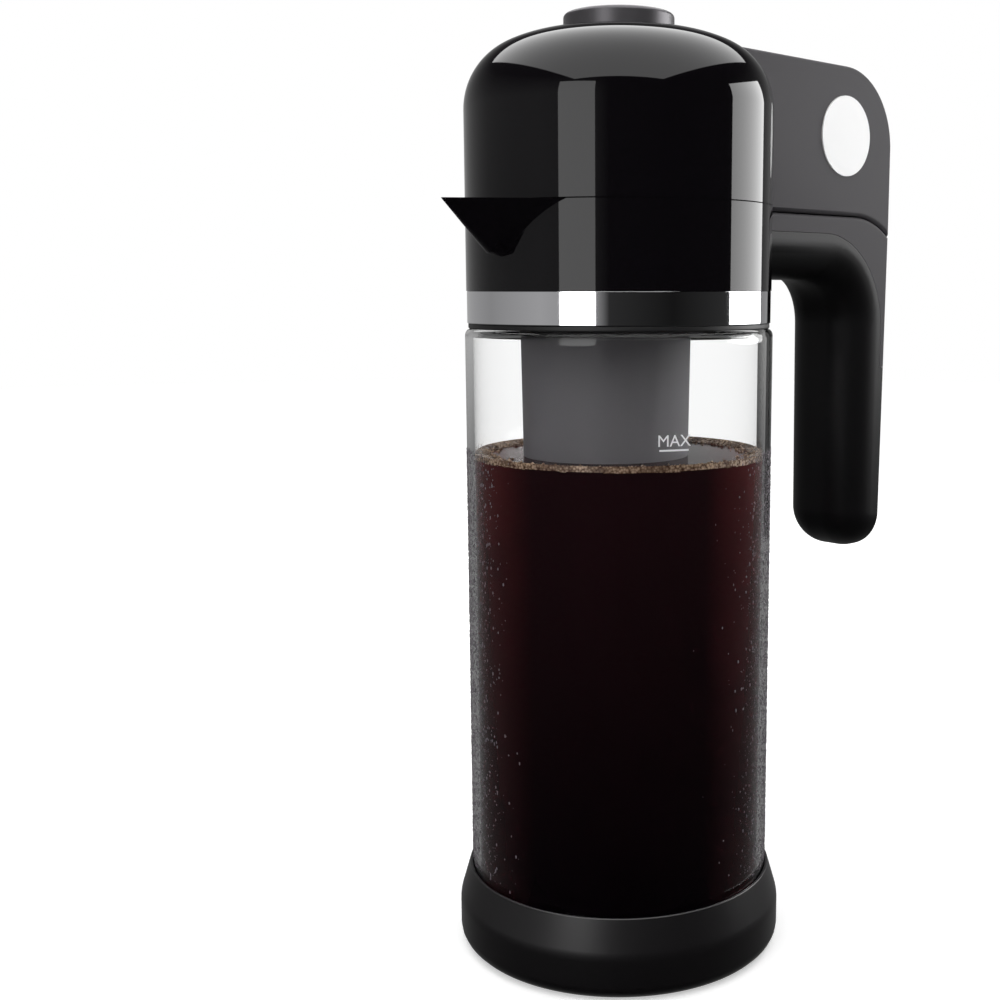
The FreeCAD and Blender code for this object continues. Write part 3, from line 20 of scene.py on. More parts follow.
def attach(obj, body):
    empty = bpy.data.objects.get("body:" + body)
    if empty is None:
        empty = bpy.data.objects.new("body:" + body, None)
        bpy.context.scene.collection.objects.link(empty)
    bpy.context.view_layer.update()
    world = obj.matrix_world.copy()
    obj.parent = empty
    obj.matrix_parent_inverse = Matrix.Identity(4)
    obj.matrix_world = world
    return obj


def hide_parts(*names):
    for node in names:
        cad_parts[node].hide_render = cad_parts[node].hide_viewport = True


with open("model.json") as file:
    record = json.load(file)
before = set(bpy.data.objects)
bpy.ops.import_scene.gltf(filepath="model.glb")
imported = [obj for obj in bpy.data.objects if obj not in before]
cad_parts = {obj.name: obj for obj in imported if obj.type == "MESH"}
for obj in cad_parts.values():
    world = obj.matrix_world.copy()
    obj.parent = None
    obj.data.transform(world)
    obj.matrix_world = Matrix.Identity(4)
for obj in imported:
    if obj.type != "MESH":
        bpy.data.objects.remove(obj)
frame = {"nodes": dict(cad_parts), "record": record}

Colour = tuple[float, float, float, float]
Point = tuple[float, float]
Place = tuple[float, float, float]
Item = bpy.types.Object
Socket = bpy.types.NodeSocket
Sockets = bpy.types.NodeOutputs
Surface = tuple[Socket, Socket, Socket]

LOG = logging.getLogger("cold_brew_maker")
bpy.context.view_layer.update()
WHITE = (1.0, 1.0, 1.0, 1.0)
GREY = (0.5, 0.5, 0.5, 1.0)
CORNER_STEPS = 5  # runs in a rounded corner
CORNER_SHARE = 0.49  # the most that a rounded corner takes of a side
FOLD_ANGLE = 38.0  # degrees past which an edge stays sharp
COPY_FOLD_ANGLE = 32.0
DROP_FOLD_ANGLE = 80.0
FLAT_ANGLE = 0.4  # degrees within which a copy's triangles count as one face
SPIN_MERGE = 1e-7
COPY_MERGE = 2e-6
SLIVER = 1e-6
ROUND_MARGIN = 5e-5  # how close to the radius a corner counts as on the turned surface
ROUND_FACING = 0.985  # how squarely its face has to look outwards
DROP_BATCH = 100
FROTH_SEED = 11
LAMP_WATTS_PER_LEVEL = math.pi
ROOM_LEVELS = ((-180.0, 0.45), (-110.0, 0.3), (-60.0, 0.42), (-17.0, 0.3), (-7.0, 0.03),
               (40.0, 0.01), (85.0, 0.03), (131.0, 0.25), (179.9, 0.45))
FLOOR_LEVELS = ((-180.0, 0.3), (-120.0, 0.08), (-75.0, 0.02), (0.0, 0.01), (75.0, 0.02),
                (120.0, 0.08), (179.9, 0.3))


# ---------- colours and node graphs


def srgb(red: int, green: int, blue: int) -> Colour:
    """Turns a screen colour into the linear colour that shaders take.

    Args:
        red: Red from 0 to 255.
        green: Green from 0 to 255.
        blue: Blue from 0 to 255.

    Returns:
        The linear colour with an alpha of 1.
    """
    parts = []
    for step in (red, green, blue):
        share = step / 255
        parts.append(share / 12.92 if share <= 0.04045 else ((share + 0.055) / 1.055) ** 2.4)
    return (*parts, 1.0)


class Graph:
    """A node tree under construction."""

    def __init__(self, tree: bpy.types.NodeTree) -> None:
        """Starts the tree empty."""
        self.tree = tree
        tree.nodes.clear()

    def node(self, kind: str, inputs: dict | None = None, **settings: object) -> bpy.types.Node:
        """Adds one node.

        Args:
            kind: The node's type name without the words ShaderNode.
            inputs: Values or sockets by input name or number.
            **settings: Properties of the node itself.

        Returns:
            The new node.
        """
        item = self.tree.nodes.new(kind if kind.startswith("Node") else f"ShaderNode{kind}")
        for name, value in settings.items():
            setattr(item, name, value)
        for name, value in (inputs or {}).items():
            self.feed(item.inputs[name], value)
        return item

    def feed(self, socket: Socket, value: object) -> None:
        """Links a socket into another, or sets its value.

        Args:
            socket: The input that is fed.
            value: A socket or a plain value.
        """
        if isinstance(value, Socket):
            self.tree.links.new(value, socket)
        else:
            socket.default_value = value

    def spot(self) -> Socket:
        """The place on the object, in its own coordinates."""
        return self.node("TexCoord").outputs["Object"]

    def axes(self, spot: Socket) -> Sockets:
        """Splits a place into its three axes."""
        return self.node("SeparateXYZ", {0: spot}).outputs

    def math(self, operation: str, *values: object) -> Socket:
        """Adds a Math node and returns its result."""
        return self.node("Math", dict(enumerate(values)), operation=operation).outputs[0]

    def swing(self, wave: Socket, amount: Socket) -> Socket:
        """Centres a wave of 0 to 1 on zero and scales it."""
        return self.math("MULTIPLY", self.math("SUBTRACT", wave, 0.5), amount)

    def fit(self, value: Socket, low: object, high: object, first: float = 0.0, last: float = 1.0
            ) -> Socket:
        """Maps one range of values onto another."""
        return self.node("MapRange", {0: value, 1: low, 2: high, 3: first, 4: last}).outputs[0]

    def noise(self, spot: Socket, scale: object, detail: float, roughness: float = 0.5) -> Socket:
        """Adds a noise and returns its value."""
        return self.node("TexNoise", {"Vector": spot, "Scale": scale, "Detail": detail,
                                      "Roughness": roughness}).outputs[0]

    def scaled(self, colour: Socket, factor: Socket) -> Socket:
        """Makes a colour brighter or darker by a factor."""
        return self.node("VectorMath", {0: colour, "Scale": factor}, operation="SCALE").outputs[0]

    def mix(self, share: object, first: object, second: object) -> Socket:
        """Mixes two colours and returns the result."""
        return self.node("Mix", {0: share, 6: first, 7: second}, data_type="RGBA").outputs[2]

    def ramp(self, share: Socket, stops: Iterable[tuple[float, Colour]]) -> Socket:
        """Reads a colour from a ramp.

        Args:
            share: The place on the ramp, from 0 to 1.
            stops: Each stop's place and colour.

        Returns:
            The colour.
        """
        node = self.node("ValToRGB", {0: share})
        marks = node.color_ramp.elements
        for number, (place, colour) in enumerate(stops):
            mark = marks[number] if number < len(marks) else marks.new(place)
            mark.position = place
            mark.color = colour
        return node.outputs[0]


def surface_group(name: str, inputs: dict[str, object],
                  draw: Callable[[Graph, Sockets], Surface]) -> bpy.types.NodeTree:
    """Builds a surface's node group once and hands out the same one after that.

    Args:
        name: The group's name.
        inputs: Default values by input name: a number or a colour.
        draw: Takes the graph and the group's inputs, and returns colour, roughness and height.

    Returns:
        The group's tree.
    """
    if name in bpy.data.node_groups:
        return bpy.data.node_groups[name]
    tree = bpy.data.node_groups.new(name, "ShaderNodeTree")
    for label, value in inputs.items():
        kind = "NodeSocketColor" if isinstance(value, tuple) else "NodeSocketFloat"
        tree.interface.new_socket(label, in_out="INPUT", socket_type=kind).default_value = value
    results = {"Colour": "Color", "Roughness": "Float", "Height": "Float"}
    for label, kind in results.items():
        tree.interface.new_socket(label, in_out="OUTPUT", socket_type=f"NodeSocket{kind}")
    graph = Graph(tree)
    surface = draw(graph, graph.node("NodeGroupInput").outputs)
    graph.node("NodeGroupOutput", dict(zip(results, surface)))
    return tree


def moulded_group() -> bpy.types.NodeTree:
    """A moulded surface: fine grain in height, slow drifts in colour and roughness."""

    def draw(graph: Graph, given: Sockets) -> Surface:
        """Works out the surface."""
        tone_share, roughness_share = 0.8, 0.5
        spot = graph.spot()
        grain = graph.noise(spot, given["Grain Scale"], detail=3.0, roughness=0.6)
        drift = graph.noise(spot, given["Drift Scale"], detail=2.0)
        spread = graph.swing(drift, given["Spread"])
        fine = graph.swing(grain, given["Mottle"])
        tone = graph.math("MULTIPLY_ADD", spread, tone_share, fine)
        colour = graph.scaled(given["Colour"], graph.math("ADD", tone, 1.0))
        rough = graph.math("MULTIPLY_ADD", spread, roughness_share, given["Roughness"])
        return colour, rough, grain

    return surface_group("moulded_surface", {
        "Colour": GREY, "Roughness": 0.4, "Grain Scale": 3000.0, "Drift Scale": 30.0,
        "Spread": 0.1, "Mottle": 0.1,
    }, draw)


def brushed_group() -> bpy.types.NodeTree:
    """Metal brushed round the upright axis: fine level lines in height, colour and roughness."""

    def draw(graph: Graph, given: Sockets) -> Surface:
        """Works out the surface."""
        axes = graph.axes(graph.spot())
        around = graph.math("MULTIPLY", graph.math("ARCTAN2", axes[1], axes[0]),
                            given["Run Scale"])
        level = graph.math("MULTIPLY", axes[2], given["Line Scale"])
        place = graph.node("CombineXYZ", {0: around, 1: level}).outputs[0]
        lines = graph.noise(place, 1.0, detail=4.0, roughness=0.65)
        swing = graph.swing(lines, given["Spread"])
        colour = graph.scaled(given["Colour"], graph.math("ADD", swing, 1.0))
        return colour, graph.math("ADD", given["Roughness"], swing), lines

    return surface_group("brushed_surface", {
        "Colour": GREY, "Roughness": 0.2, "Line Scale": 6000.0, "Run Scale": 3.0, "Spread": 0.2,
    }, draw)


def woven_group() -> bpy.types.NodeTree:
    """Fine woven wire round the upright axis, as height, with painted shade in the gaps between the
    wires, where the height is low.
    """

    def draw(graph: Graph, given: Sockets) -> Surface:
        """Works out the surface, round the column's own axis."""
        # painted shade: the gaps between the wires are coloured nearly black
        column_offset, gap_shade = (0.006, 0.0, 0.0), (0.02, 0.02, 0.022, 1.0)
        centred = graph.node("VectorMath", {0: graph.spot(), 1: column_offset}, operation="ADD")
        axes = graph.axes(centred.outputs[0])
        turn = graph.math("ARCTAN2", axes[1], axes[0])
        warp = graph.math("SINE", graph.math("MULTIPLY", turn, given["Wires"]))
        weft = graph.math("SINE", graph.math("MULTIPLY", axes[2], given["Rows"]))
        height = graph.math("MULTIPLY_ADD", graph.math("MULTIPLY", warp, weft), 0.5, 0.5)
        # the colour darkens to the painted gap shade where the weave is low
        colour = graph.mix(height, gap_shade, given["Colour"])
        return colour, graph.math("MULTIPLY_ADD", height, -0.2, given["Roughness"]), height

    return surface_group("woven_surface", {
        "Colour": GREY, "Roughness": 0.45, "Wires": 360.0, "Rows": 14000.0,
    }, draw)


def brew_group() -> bpy.types.NodeTree:
    """Dark coffee with painted light and shade: painted shade makes it nearly black at the foot,
    and a painted glow, as of light through thin coffee, makes it redder at the top and towards two
    flanks.
    """

    def draw(graph: Graph, given: Sockets) -> Surface:
        """Works out the surface: the flanks, which get the painted glow, lie along one level
        direction, to the left and right as the camera sees the glass.
        """
        flank_direction, flank_range, foot = (0.713, -0.701, 0.0), (0.026, 0.046), 0.02
        spot = graph.spot()
        level = graph.fit(graph.axes(spot)[2], foot, given["Top"])
        across = graph.node("VectorMath", {0: spot, 1: flank_direction},
                            operation="DOT_PRODUCT").outputs["Value"]
        flank = graph.fit(graph.math("ABSOLUTE", across), *flank_range)
        cloud = graph.noise(spot, given["Cloud Scale"], detail=3.0)
        lift = graph.math("MULTIPLY", level, level)
        # painted glow: the coffee turns redder towards the flanks, most near the top
        warm = graph.math("MULTIPLY", flank, graph.math("MULTIPLY_ADD", lift, 0.8, 0.2))
        share = graph.math("MULTIPLY", warm, graph.math("MULTIPLY_ADD", cloud, 1.2, 0.3))
        # painted shade: the coffee's colour darkens towards the foot
        deep = graph.mix(level, given["Deep"], given["Colour"])
        colour = graph.mix(graph.node("Clamp", {0: share}).outputs[0], deep, given["Warm"])
        return colour, graph.math("MULTIPLY_ADD", cloud, 0.04, given["Roughness"]), cloud

    return surface_group("brew_surface", {
        "Colour": GREY, "Deep": GREY, "Warm": GREY, "Roughness": 0.05, "Top": 0.17,
        "Cloud Scale": 40.0,
    }, draw)


def froth_group() -> bpy.types.NodeTree:
    """Small bubbles of froth: cells in two tones, raised in their middles."""

    def draw(graph: Graph, given: Sockets) -> Surface:
        """Works out the surface."""
        spot = graph.spot()
        cells = graph.node("TexVoronoi", {"Vector": spot, "Scale": given["Bubble Scale"]})
        blotch = graph.noise(spot, given["Blotch Scale"], detail=3.0)
        rim = graph.math("SUBTRACT", 1.0, graph.math("MULTIPLY", cells.outputs[0], 1.1))
        share = graph.math("MULTIPLY_ADD", graph.math("SUBTRACT", blotch, 0.5), 2.2, 0.5)
        mixed = graph.math("MULTIPLY", graph.node("Clamp", {0: share}).outputs[0],
                           graph.node("Clamp", {0: rim}).outputs[0])
        colour = graph.mix(mixed, given["Dark"], given["Colour"])
        return colour, graph.math("MULTIPLY_ADD", mixed, 0.3, given["Roughness"]), rim

    return surface_group("froth_surface", {
        "Colour": GREY, "Dark": GREY, "Roughness": 0.2, "Bubble Scale": 1200.0,
        "Blotch Scale": 90.0,
    }, draw)


# ---------- finishes


@dataclass(frozen=True)
class Finish:
    """What every finish shares: a name and a way to make its material once."""

    name: str

    def material(self) -> bpy.types.Material:
        """Makes the material on first use.

        Returns:
            The finish's material.
        """
        name = f"{self.name}_finish"
        if name in bpy.data.materials:
            return bpy.data.materials[name]
        made = bpy.data.materials.new(name)
        made.use_nodes = True
        self.draw(Graph(made.node_tree))
        return made

    def draw(self, graph: Graph) -> None:
        """Fills the material's graph."""
        raise NotImplementedError


@dataclass(frozen=True)
class SolidFinish(Finish):
    """An opaque finish whose colour, roughness and relief come from a shared node group."""

    colour: Colour
    roughness: float
    relief: float = 0.0
    metallic: float = 0.0
    shine: float = 0.5
    grain_scale: float = 3000.0
    drift_scale: float = 30.0
    spread: float = 0.1
    mottle: float = 0.1
    group: ClassVar[Callable[[], bpy.types.NodeTree]] = staticmethod(moulded_group)

    def draw(self, graph: Graph) -> None:
        """Fills the material's graph with the group, fed from the fields of like names.

        Args:
            graph: The material's graph.
        """
        surface = graph.node("Group", node_tree=self.group())
        for socket in surface.inputs:
            graph.feed(socket, getattr(self, socket.name.lower().replace(" ", "_")))
        relief = graph.node("Bump", {"Height": surface.outputs["Height"], "Strength": 1.0,
                                     "Distance": self.relief})
        shader = graph.node("BsdfPrincipled", {
            "Base Color": surface.outputs["Colour"], "Roughness": surface.outputs["Roughness"],
            "Metallic": self.metallic, "Specular IOR Level": self.shine,
            "Normal": relief.outputs[0],
        })
        graph.node("OutputMaterial", {0: shader.outputs[0]})


@dataclass(frozen=True)
class BrushedFinish(SolidFinish):
    """Metal that is brushed round the upright axis."""

    line_scale: float = 6000.0
    run_scale: float = 3.0
    group = staticmethod(brushed_group)


@dataclass(frozen=True)
class WovenFinish(SolidFinish):
    """Woven steel wire."""

    wires: float = 360.0
    rows: float = 14000.0
    group = staticmethod(woven_group)


@dataclass(frozen=True)
class BrewFinish(SolidFinish):
    """Brewed coffee behind glass, with painted shade at the foot and a painted glow at the top and
    flanks.
    """

    # painted shade: the coffee's colour near the foot
    deep: Colour = srgb(3, 1, 3)
    # painted glow: the red of light through the coffee at its top and flanks
    warm: Colour = srgb(72, 24, 24)
    top: float = 0.17
    cloud_scale: float = 40.0
    group = staticmethod(brew_group)


@dataclass(frozen=True)
class FrothFinish(SolidFinish):
    """Fine coffee froth."""

    dark: Colour = srgb(58, 34, 25)
    bubble_scale: float = 1200.0
    blotch_scale: float = 90.0
    group = staticmethod(froth_group)


@dataclass(frozen=True)
class ClearFinish(Finish):
    """Clear glass, plastic or water, which lets lamp light through."""

    colour: Colour = WHITE
    ior: float = 1.45
    roughness: float = 0.0

    def draw(self, graph: Graph) -> None:
        """Fills the material's graph: clear to shadow rays, a refracting shader to the rest.

        Args:
            graph: The material's graph.
        """
        shader = graph.node("BsdfPrincipled", {
            "Base Color": self.colour, "Roughness": self.roughness, "IOR": self.ior,
            "Transmission Weight": 1.0,
        })
        open_air = graph.node("BsdfTransparent", {0: self.colour})
        shadow = graph.node("LightPath").outputs["Is Shadow Ray"]
        both = graph.node("MixShader", {0: shadow, 1: shader.outputs[0], 2: open_air.outputs[0]})
        graph.node("OutputMaterial", {0: both.outputs[0]})


class Slot(Enum):
    """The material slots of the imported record."""

    BOOT = "boot_rubber"
    GLASS = "clear_glass"
    SEAL = "black_seal"
    STEEL = "polished_steel"
    NYLON = "nylon"
    GLOSS = "gloss_black"
    HANDLE = "handle_grey"
    GRIP = "grip_black"
    SCREW = "screw_steel"
    COLUMN = "column_grey"
    MESH = "mesh_steel"
    TUBE = "clear_tube"
    BADGE = "badge_white"
    MOTOR = "motor_steel"
    COPPER = "motor_copper"
    BOARD = "board_green"
    CHIP = "chip_black"
    LIGHT = "light_pipe"
    BUTTON = "button_grey"


FINISHES: dict[Slot, Finish] = {Slot(finish.name): finish for finish in (
    SolidFinish("boot_rubber", srgb(14, 11, 14), 0.36, relief=4e-6, shine=0.6,
                grain_scale=5000.0, drift_scale=25.0),
    ClearFinish("clear_glass", (0.995, 0.997, 0.997, 1.0), 1.25),
    SolidFinish("black_seal", srgb(14, 13, 15), 0.5, relief=2e-6),
    BrushedFinish("polished_steel", (0.72, 0.72, 0.74, 1.0), 0.05, relief=5e-8, metallic=1.0,
                  spread=0.03, line_scale=9000.0),
    SolidFinish("nylon", srgb(200, 198, 192), 0.5, relief=3e-6),
    SolidFinish("gloss_black", srgb(12, 10, 13), 0.03, spread=0.02, drift_scale=18.0, mottle=0.0,
                shine=0.25),
    SolidFinish("handle_grey", srgb(78, 76, 79), 0.55, relief=5e-6, spread=0.06,
                grain_scale=4200.0, mottle=0.05, shine=0.08),
    SolidFinish("grip_black", srgb(13, 12, 14), 0.45, relief=5e-6, spread=0.08,
                grain_scale=5200.0, mottle=0.08, shine=0.18),
    SolidFinish("screw_steel", (0.5, 0.5, 0.52, 1.0), 0.3, metallic=1.0, relief=1e-6),
    SolidFinish("column_grey", srgb(100, 98, 101), 0.6, relief=3e-6, spread=0.08, mottle=0.05,
                shine=0.1),
    WovenFinish("mesh_steel", (0.55, 0.55, 0.56, 1.0), 0.5, relief=4e-5, metallic=1.0),
    ClearFinish("clear_tube", (0.93, 0.94, 0.94, 1.0), 1.5, 0.12),
    SolidFinish("badge_white", srgb(250, 250, 250), 0.4, relief=1e-6, spread=0.02, mottle=0.01),
    BrushedFinish("motor_steel", (0.45, 0.45, 0.46, 1.0), 0.35, metallic=1.0, relief=1e-6),
    SolidFinish("motor_copper", (0.7, 0.32, 0.16, 1.0), 0.35, metallic=1.0, relief=2e-5,
                grain_scale=1500.0),
    SolidFinish("board_green", srgb(20, 84, 52), 0.4, relief=2e-6, mottle=0.3),
    SolidFinish("chip_black", srgb(28, 28, 30), 0.55, relief=3e-6),
    ClearFinish("light_pipe", (0.9, 0.93, 0.95, 1.0), 1.49, 0.25),
    BrushedFinish("button_grey", srgb(84, 82, 85), 0.36, relief=5e-7, metallic=0.45, spread=0.05,
                  line_scale=5000.0, shine=0.3),
)}
COFFEE = BrewFinish("brewed_coffee", srgb(27, 12, 15), 0.05, shine=0.03)
FROTH = FrothFinish("coffee_froth", srgb(212, 182, 150), 0.2, relief=6e-5)
# The drops are clear water; their opaque grey colour is painted glints, standing in for the light
# they catch.
PAINTED_DEW_GLINT = SolidFinish("dew_drops", srgb(108, 101, 108), 0.2, mottle=0.3)
MARK_INK = SolidFinish("mark_ink", srgb(238, 238, 240), 0.5, relief=1e-6, mottle=0.02)


# ---------- mesh helpers


class Outline:
    """A chain of points in a plane, with rounded corners and arcs."""

    def __init__(self, *corners: tuple[float, ...]) -> None:
        """Starts with corners: x, y and, where it is rounded, the fillet."""
        self.marks: list[tuple[float, float, float]] = []
        for corner in corners:
            self.at(*corner)

    def at(self, x: float, y: float, fillet: float = 0.0) -> "Outline":
        """Adds a corner, rounded where fillet is above zero."""
        self.marks.append((x, y, fillet))
        return self

    def arc(self, centre: Point, radius: float, start: float, stop: float,
            steps: int) -> "Outline":
        """Adds points along an arc.

        Args:
            centre: The arc's centre.
            radius: The arc's radius.
            start: Where it starts, in degrees.
            stop: Where it stops, in degrees.
            steps: How many runs it is divided into.

        Returns:
            This outline.
        """
        for number in range(steps + 1):
            angle = math.radians(start + (stop - start) * number / steps)
            self.marks.append((centre[0] + radius * math.cos(angle),
                               centre[1] + radius * math.sin(angle), 0.0))
        return self

    def points(self, closed: bool) -> list[Point]:
        """Works out the chain's points.

        Args:
            closed: Whether the last point joins the first.

        Returns:
            The points as (x, y).
        """
        steps = CORNER_STEPS
        spots = [Vector(mark[:2]) for mark in self.marks]
        made: list[Point] = []
        for number, spot in enumerate(spots):
            fillet = self.marks[number][2]
            inside = closed or 0 < number < len(spots) - 1
            if fillet <= 0 or not inside:
                made.append(tuple(spot))
                continue
            back = spots[number - 1] - spot
            ahead = spots[(number + 1) % len(spots)] - spot
            half = back.angle(ahead) / 2
            reach = min(fillet / math.tan(half), CORNER_SHARE * min(back.length, ahead.length))
            radius = reach * math.tan(half)
            middle = (back.normalized() + ahead.normalized()).normalized()
            centre = spot + middle * (radius / math.sin(half))
            first = (spot + back.normalized() * reach - centre).normalized()
            last = (spot + ahead.normalized() * reach - centre).normalized()
            made.extend(tuple(centre + first.slerp(last, k / steps) * radius)
                        for k in range(steps + 1))
        return made


def finish_mesh(work: bmesh.types.BMesh, name: str, sharp: float = FOLD_ANGLE) -> Item:
    """Turns a bmesh into a smooth-shaded object with sharp edges where it folds.

    Args:
        work: The mesh under construction, which is freed.
        name: The object's name.
        sharp: Edges that turn by more than this many degrees stay sharp.

    Returns:
        The object, linked to the scene.
    """
    mesh = bpy.data.meshes.new(name)
    work.to_mesh(mesh)
    work.free()
    for polygon in mesh.polygons:
        polygon.use_smooth = True
    mesh.set_sharp_from_angle(angle=math.radians(sharp))
    piece = bpy.data.objects.new(name, mesh)
    bpy.context.scene.collection.objects.link(piece)
    return piece


def even_shading(piece: Item) -> Item:
    """Lets large faces keep their own normals beside the small faces of a rounded edge.

    Args:
        piece: The object, with its sharp edges marked.

    Returns:
        The same object.
    """
    weights = piece.modifiers.new("even_shading", "WEIGHTED_NORMAL")
    weights.keep_sharp = True
    return piece


def spin_outline(outline: Outline, closed: bool = True, steps: int = 192) -> bmesh.types.BMesh:
    """Spins a half profile about the Z axis and closes it.

    Args:
        outline: The profile as (radius, height).
        closed: Whether the profile is a loop clear of the axis.
        steps: How many steps the turn takes.

    Returns:
        The shape under construction.
    """
    work = bmesh.new()
    corners = [work.verts.new((radius, 0.0, height)) for radius, height in outline.points(closed)]
    edges = [work.edges.new(pair) for pair in zip(corners, corners[1:])]
    if closed:
        edges.append(work.edges.new((corners[-1], corners[0])))
    bmesh.ops.spin(work, geom=corners + edges, cent=(0, 0, 0), axis=(0, 0, 1), dvec=(0, 0, 0),
                   angle=2 * math.pi, steps=steps, use_merge=True, use_duplicate=False)
    bmesh.ops.remove_doubles(work, verts=work.verts, dist=SPIN_MERGE)
    bmesh.ops.recalc_face_normals(work, faces=work.faces)
    return work


def spun_piece(name: str, outline: Outline, **turn: int) -> Item:
    """Makes a turned piece from its half profile, with spin_outline's settings."""
    return even_shading(finish_mesh(spin_outline(outline, **turn), name))


def scatter_drops(work: bmesh.types.BMesh, drops: list[tuple[Matrix, float]]) -> None:
    """Adds many small round drops, in batches, because each operator visits its whole mesh.

    Args:
        work: The mesh that gets the drops.
        drops: Each drop's place and radius.
    """
    for start in range(0, len(drops), DROP_BATCH):
        batch = bmesh.new()
        for place, size in drops[start:start + DROP_BATCH]:
            bmesh.ops.create_icosphere(batch, subdivisions=1, radius=size, matrix=place)
        mesh = bpy.data.meshes.new("drop_batch")
        batch.to_mesh(mesh)
        batch.free()
        work.from_mesh(mesh)
        bpy.data.meshes.remove(mesh)


def round_normals(mesh: bpy.types.Mesh, radius: float) -> None:
    """Gives the faces of one turned surface the exact normals of a cylinder round the Z axis.

    Args:
        mesh: The mesh, already shaded smooth.
        radius: The surface's radius.
    """
    normals = [corner.vector.copy() for corner in mesh.corner_normals]
    for polygon in mesh.polygons:
        for number in polygon.loop_indices:
            spot = mesh.vertices[mesh.loops[number].vertex_index].co
            outward = Vector((spot.x, spot.y, 0.0))
            if abs(outward.length - radius) < ROUND_MARGIN:
                outward.normalize()
                if outward.dot(polygon.normal) > ROUND_FACING:
                    normals[number] = outward
    mesh.normals_split_custom_set(normals)


def smooth_copy(node: str, radius: float | None = None) -> Item:
    """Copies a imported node's mesh, merges its loose triangles and shades it smooth.

    Args:
        node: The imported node.
        radius: The radius of a gloss surface that is turned round the Z axis, if it has one.

    Returns:
        The copy as a new object.
    """
    work = bmesh.new()
    work.from_mesh(frame["nodes"][node].data)
    bmesh.ops.remove_doubles(work, verts=work.verts, dist=COPY_MERGE)
    bmesh.ops.dissolve_degenerate(work, edges=work.edges, dist=SLIVER)
    if radius is None:
        bmesh.ops.dissolve_limit(work, angle_limit=math.radians(FLAT_ANGLE), verts=work.verts,
                                 edges=work.edges, use_dissolve_boundaries=False)
    for layers in (work.loops.layers.uv, work.loops.layers.float_vector):
        for layer in list(layers.values()):
            layers.remove(layer)
    piece = finish_mesh(work, f"{node}_skin", COPY_FOLD_ANGLE)
    if "custom_normal" in piece.data.attributes:
        piece.data.attributes.remove(piece.data.attributes["custom_normal"])
    if radius is not None:
        round_normals(piece.data, radius)
        return piece
    return even_shading(piece)


# ---------- sub-assemblies


@dataclass
class Piece:
    """One finished object with what it rides on and what it stands for."""

    item: Item
    finish: Finish
    body: str
    slot: Slot | None
    nodes: tuple[str, ...]

    def dress(self) -> None:
        """Gives the object its material and body, and hides the imported nodes that it stands for.
        """
        self.item.data.materials.clear()
        self.item.data.materials.append(self.finish.material())
        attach(self.item, self.body)
        if self.nodes:
            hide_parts(*self.nodes)
        LOG.info("%s rides on %s", self.item.name, self.body)


@dataclass
class SubAssembly:
    """What every sub-assembly does: it builds its pieces, then dresses them."""

    pieces: list[Piece] = field(default_factory=list, init=False)

    def add(self, item: Item, body: str, slot: Slot | None, *nodes: str,
            finish: Finish | None = None) -> None:
        """Keeps one object for dressing.

        Args:
            item: The object.
            body: The body that it rides on.
            slot: The record's slot, or None for what the record doesn't hold.
            *nodes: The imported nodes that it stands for.
            finish: Its finish, where that isn't the slot's own.
        """
        self.pieces.append(Piece(item, finish or FINISHES[slot], body, slot, nodes))

    def build(self) -> None:
        """Makes the meshes."""
        raise NotImplementedError

    def dress(self) -> None:
        """Gives every piece its material and the body that it rides on."""
        for piece in self.pieces:
            piece.dress()


@dataclass
class Boot(SubAssembly):
    """The soft boot under the glass."""

    radius: float = 0.0544
    foot_round: float = 0.0052
    side_level: float = 0.0148
    top_level: float = 0.0262
    pocket: float = 0.05015
    floor: float = 0.0045
    lip_width: float = 0.0009
    pocket_round: float = 0.006
    side_round: float = 0.012
    lip_round: float = 0.0004
    lip_inner_round: float = 0.0003

    def build(self) -> None:
        """Makes the boot as one turned cup."""
        outline = Outline(
            (0.0, 0.0),
            (self.radius, 0.0, self.foot_round),
            (self.radius, self.side_level, self.side_round),
            (self.pocket + self.lip_width, self.top_level, self.lip_round),
            (self.pocket, self.top_level, self.lip_inner_round),
            (self.pocket, self.floor, self.pocket_round),
            (0.0, self.floor))
        self.add(spun_piece("soft_boot", outline, closed=False), "carafe", Slot.BOOT, "base_boot")


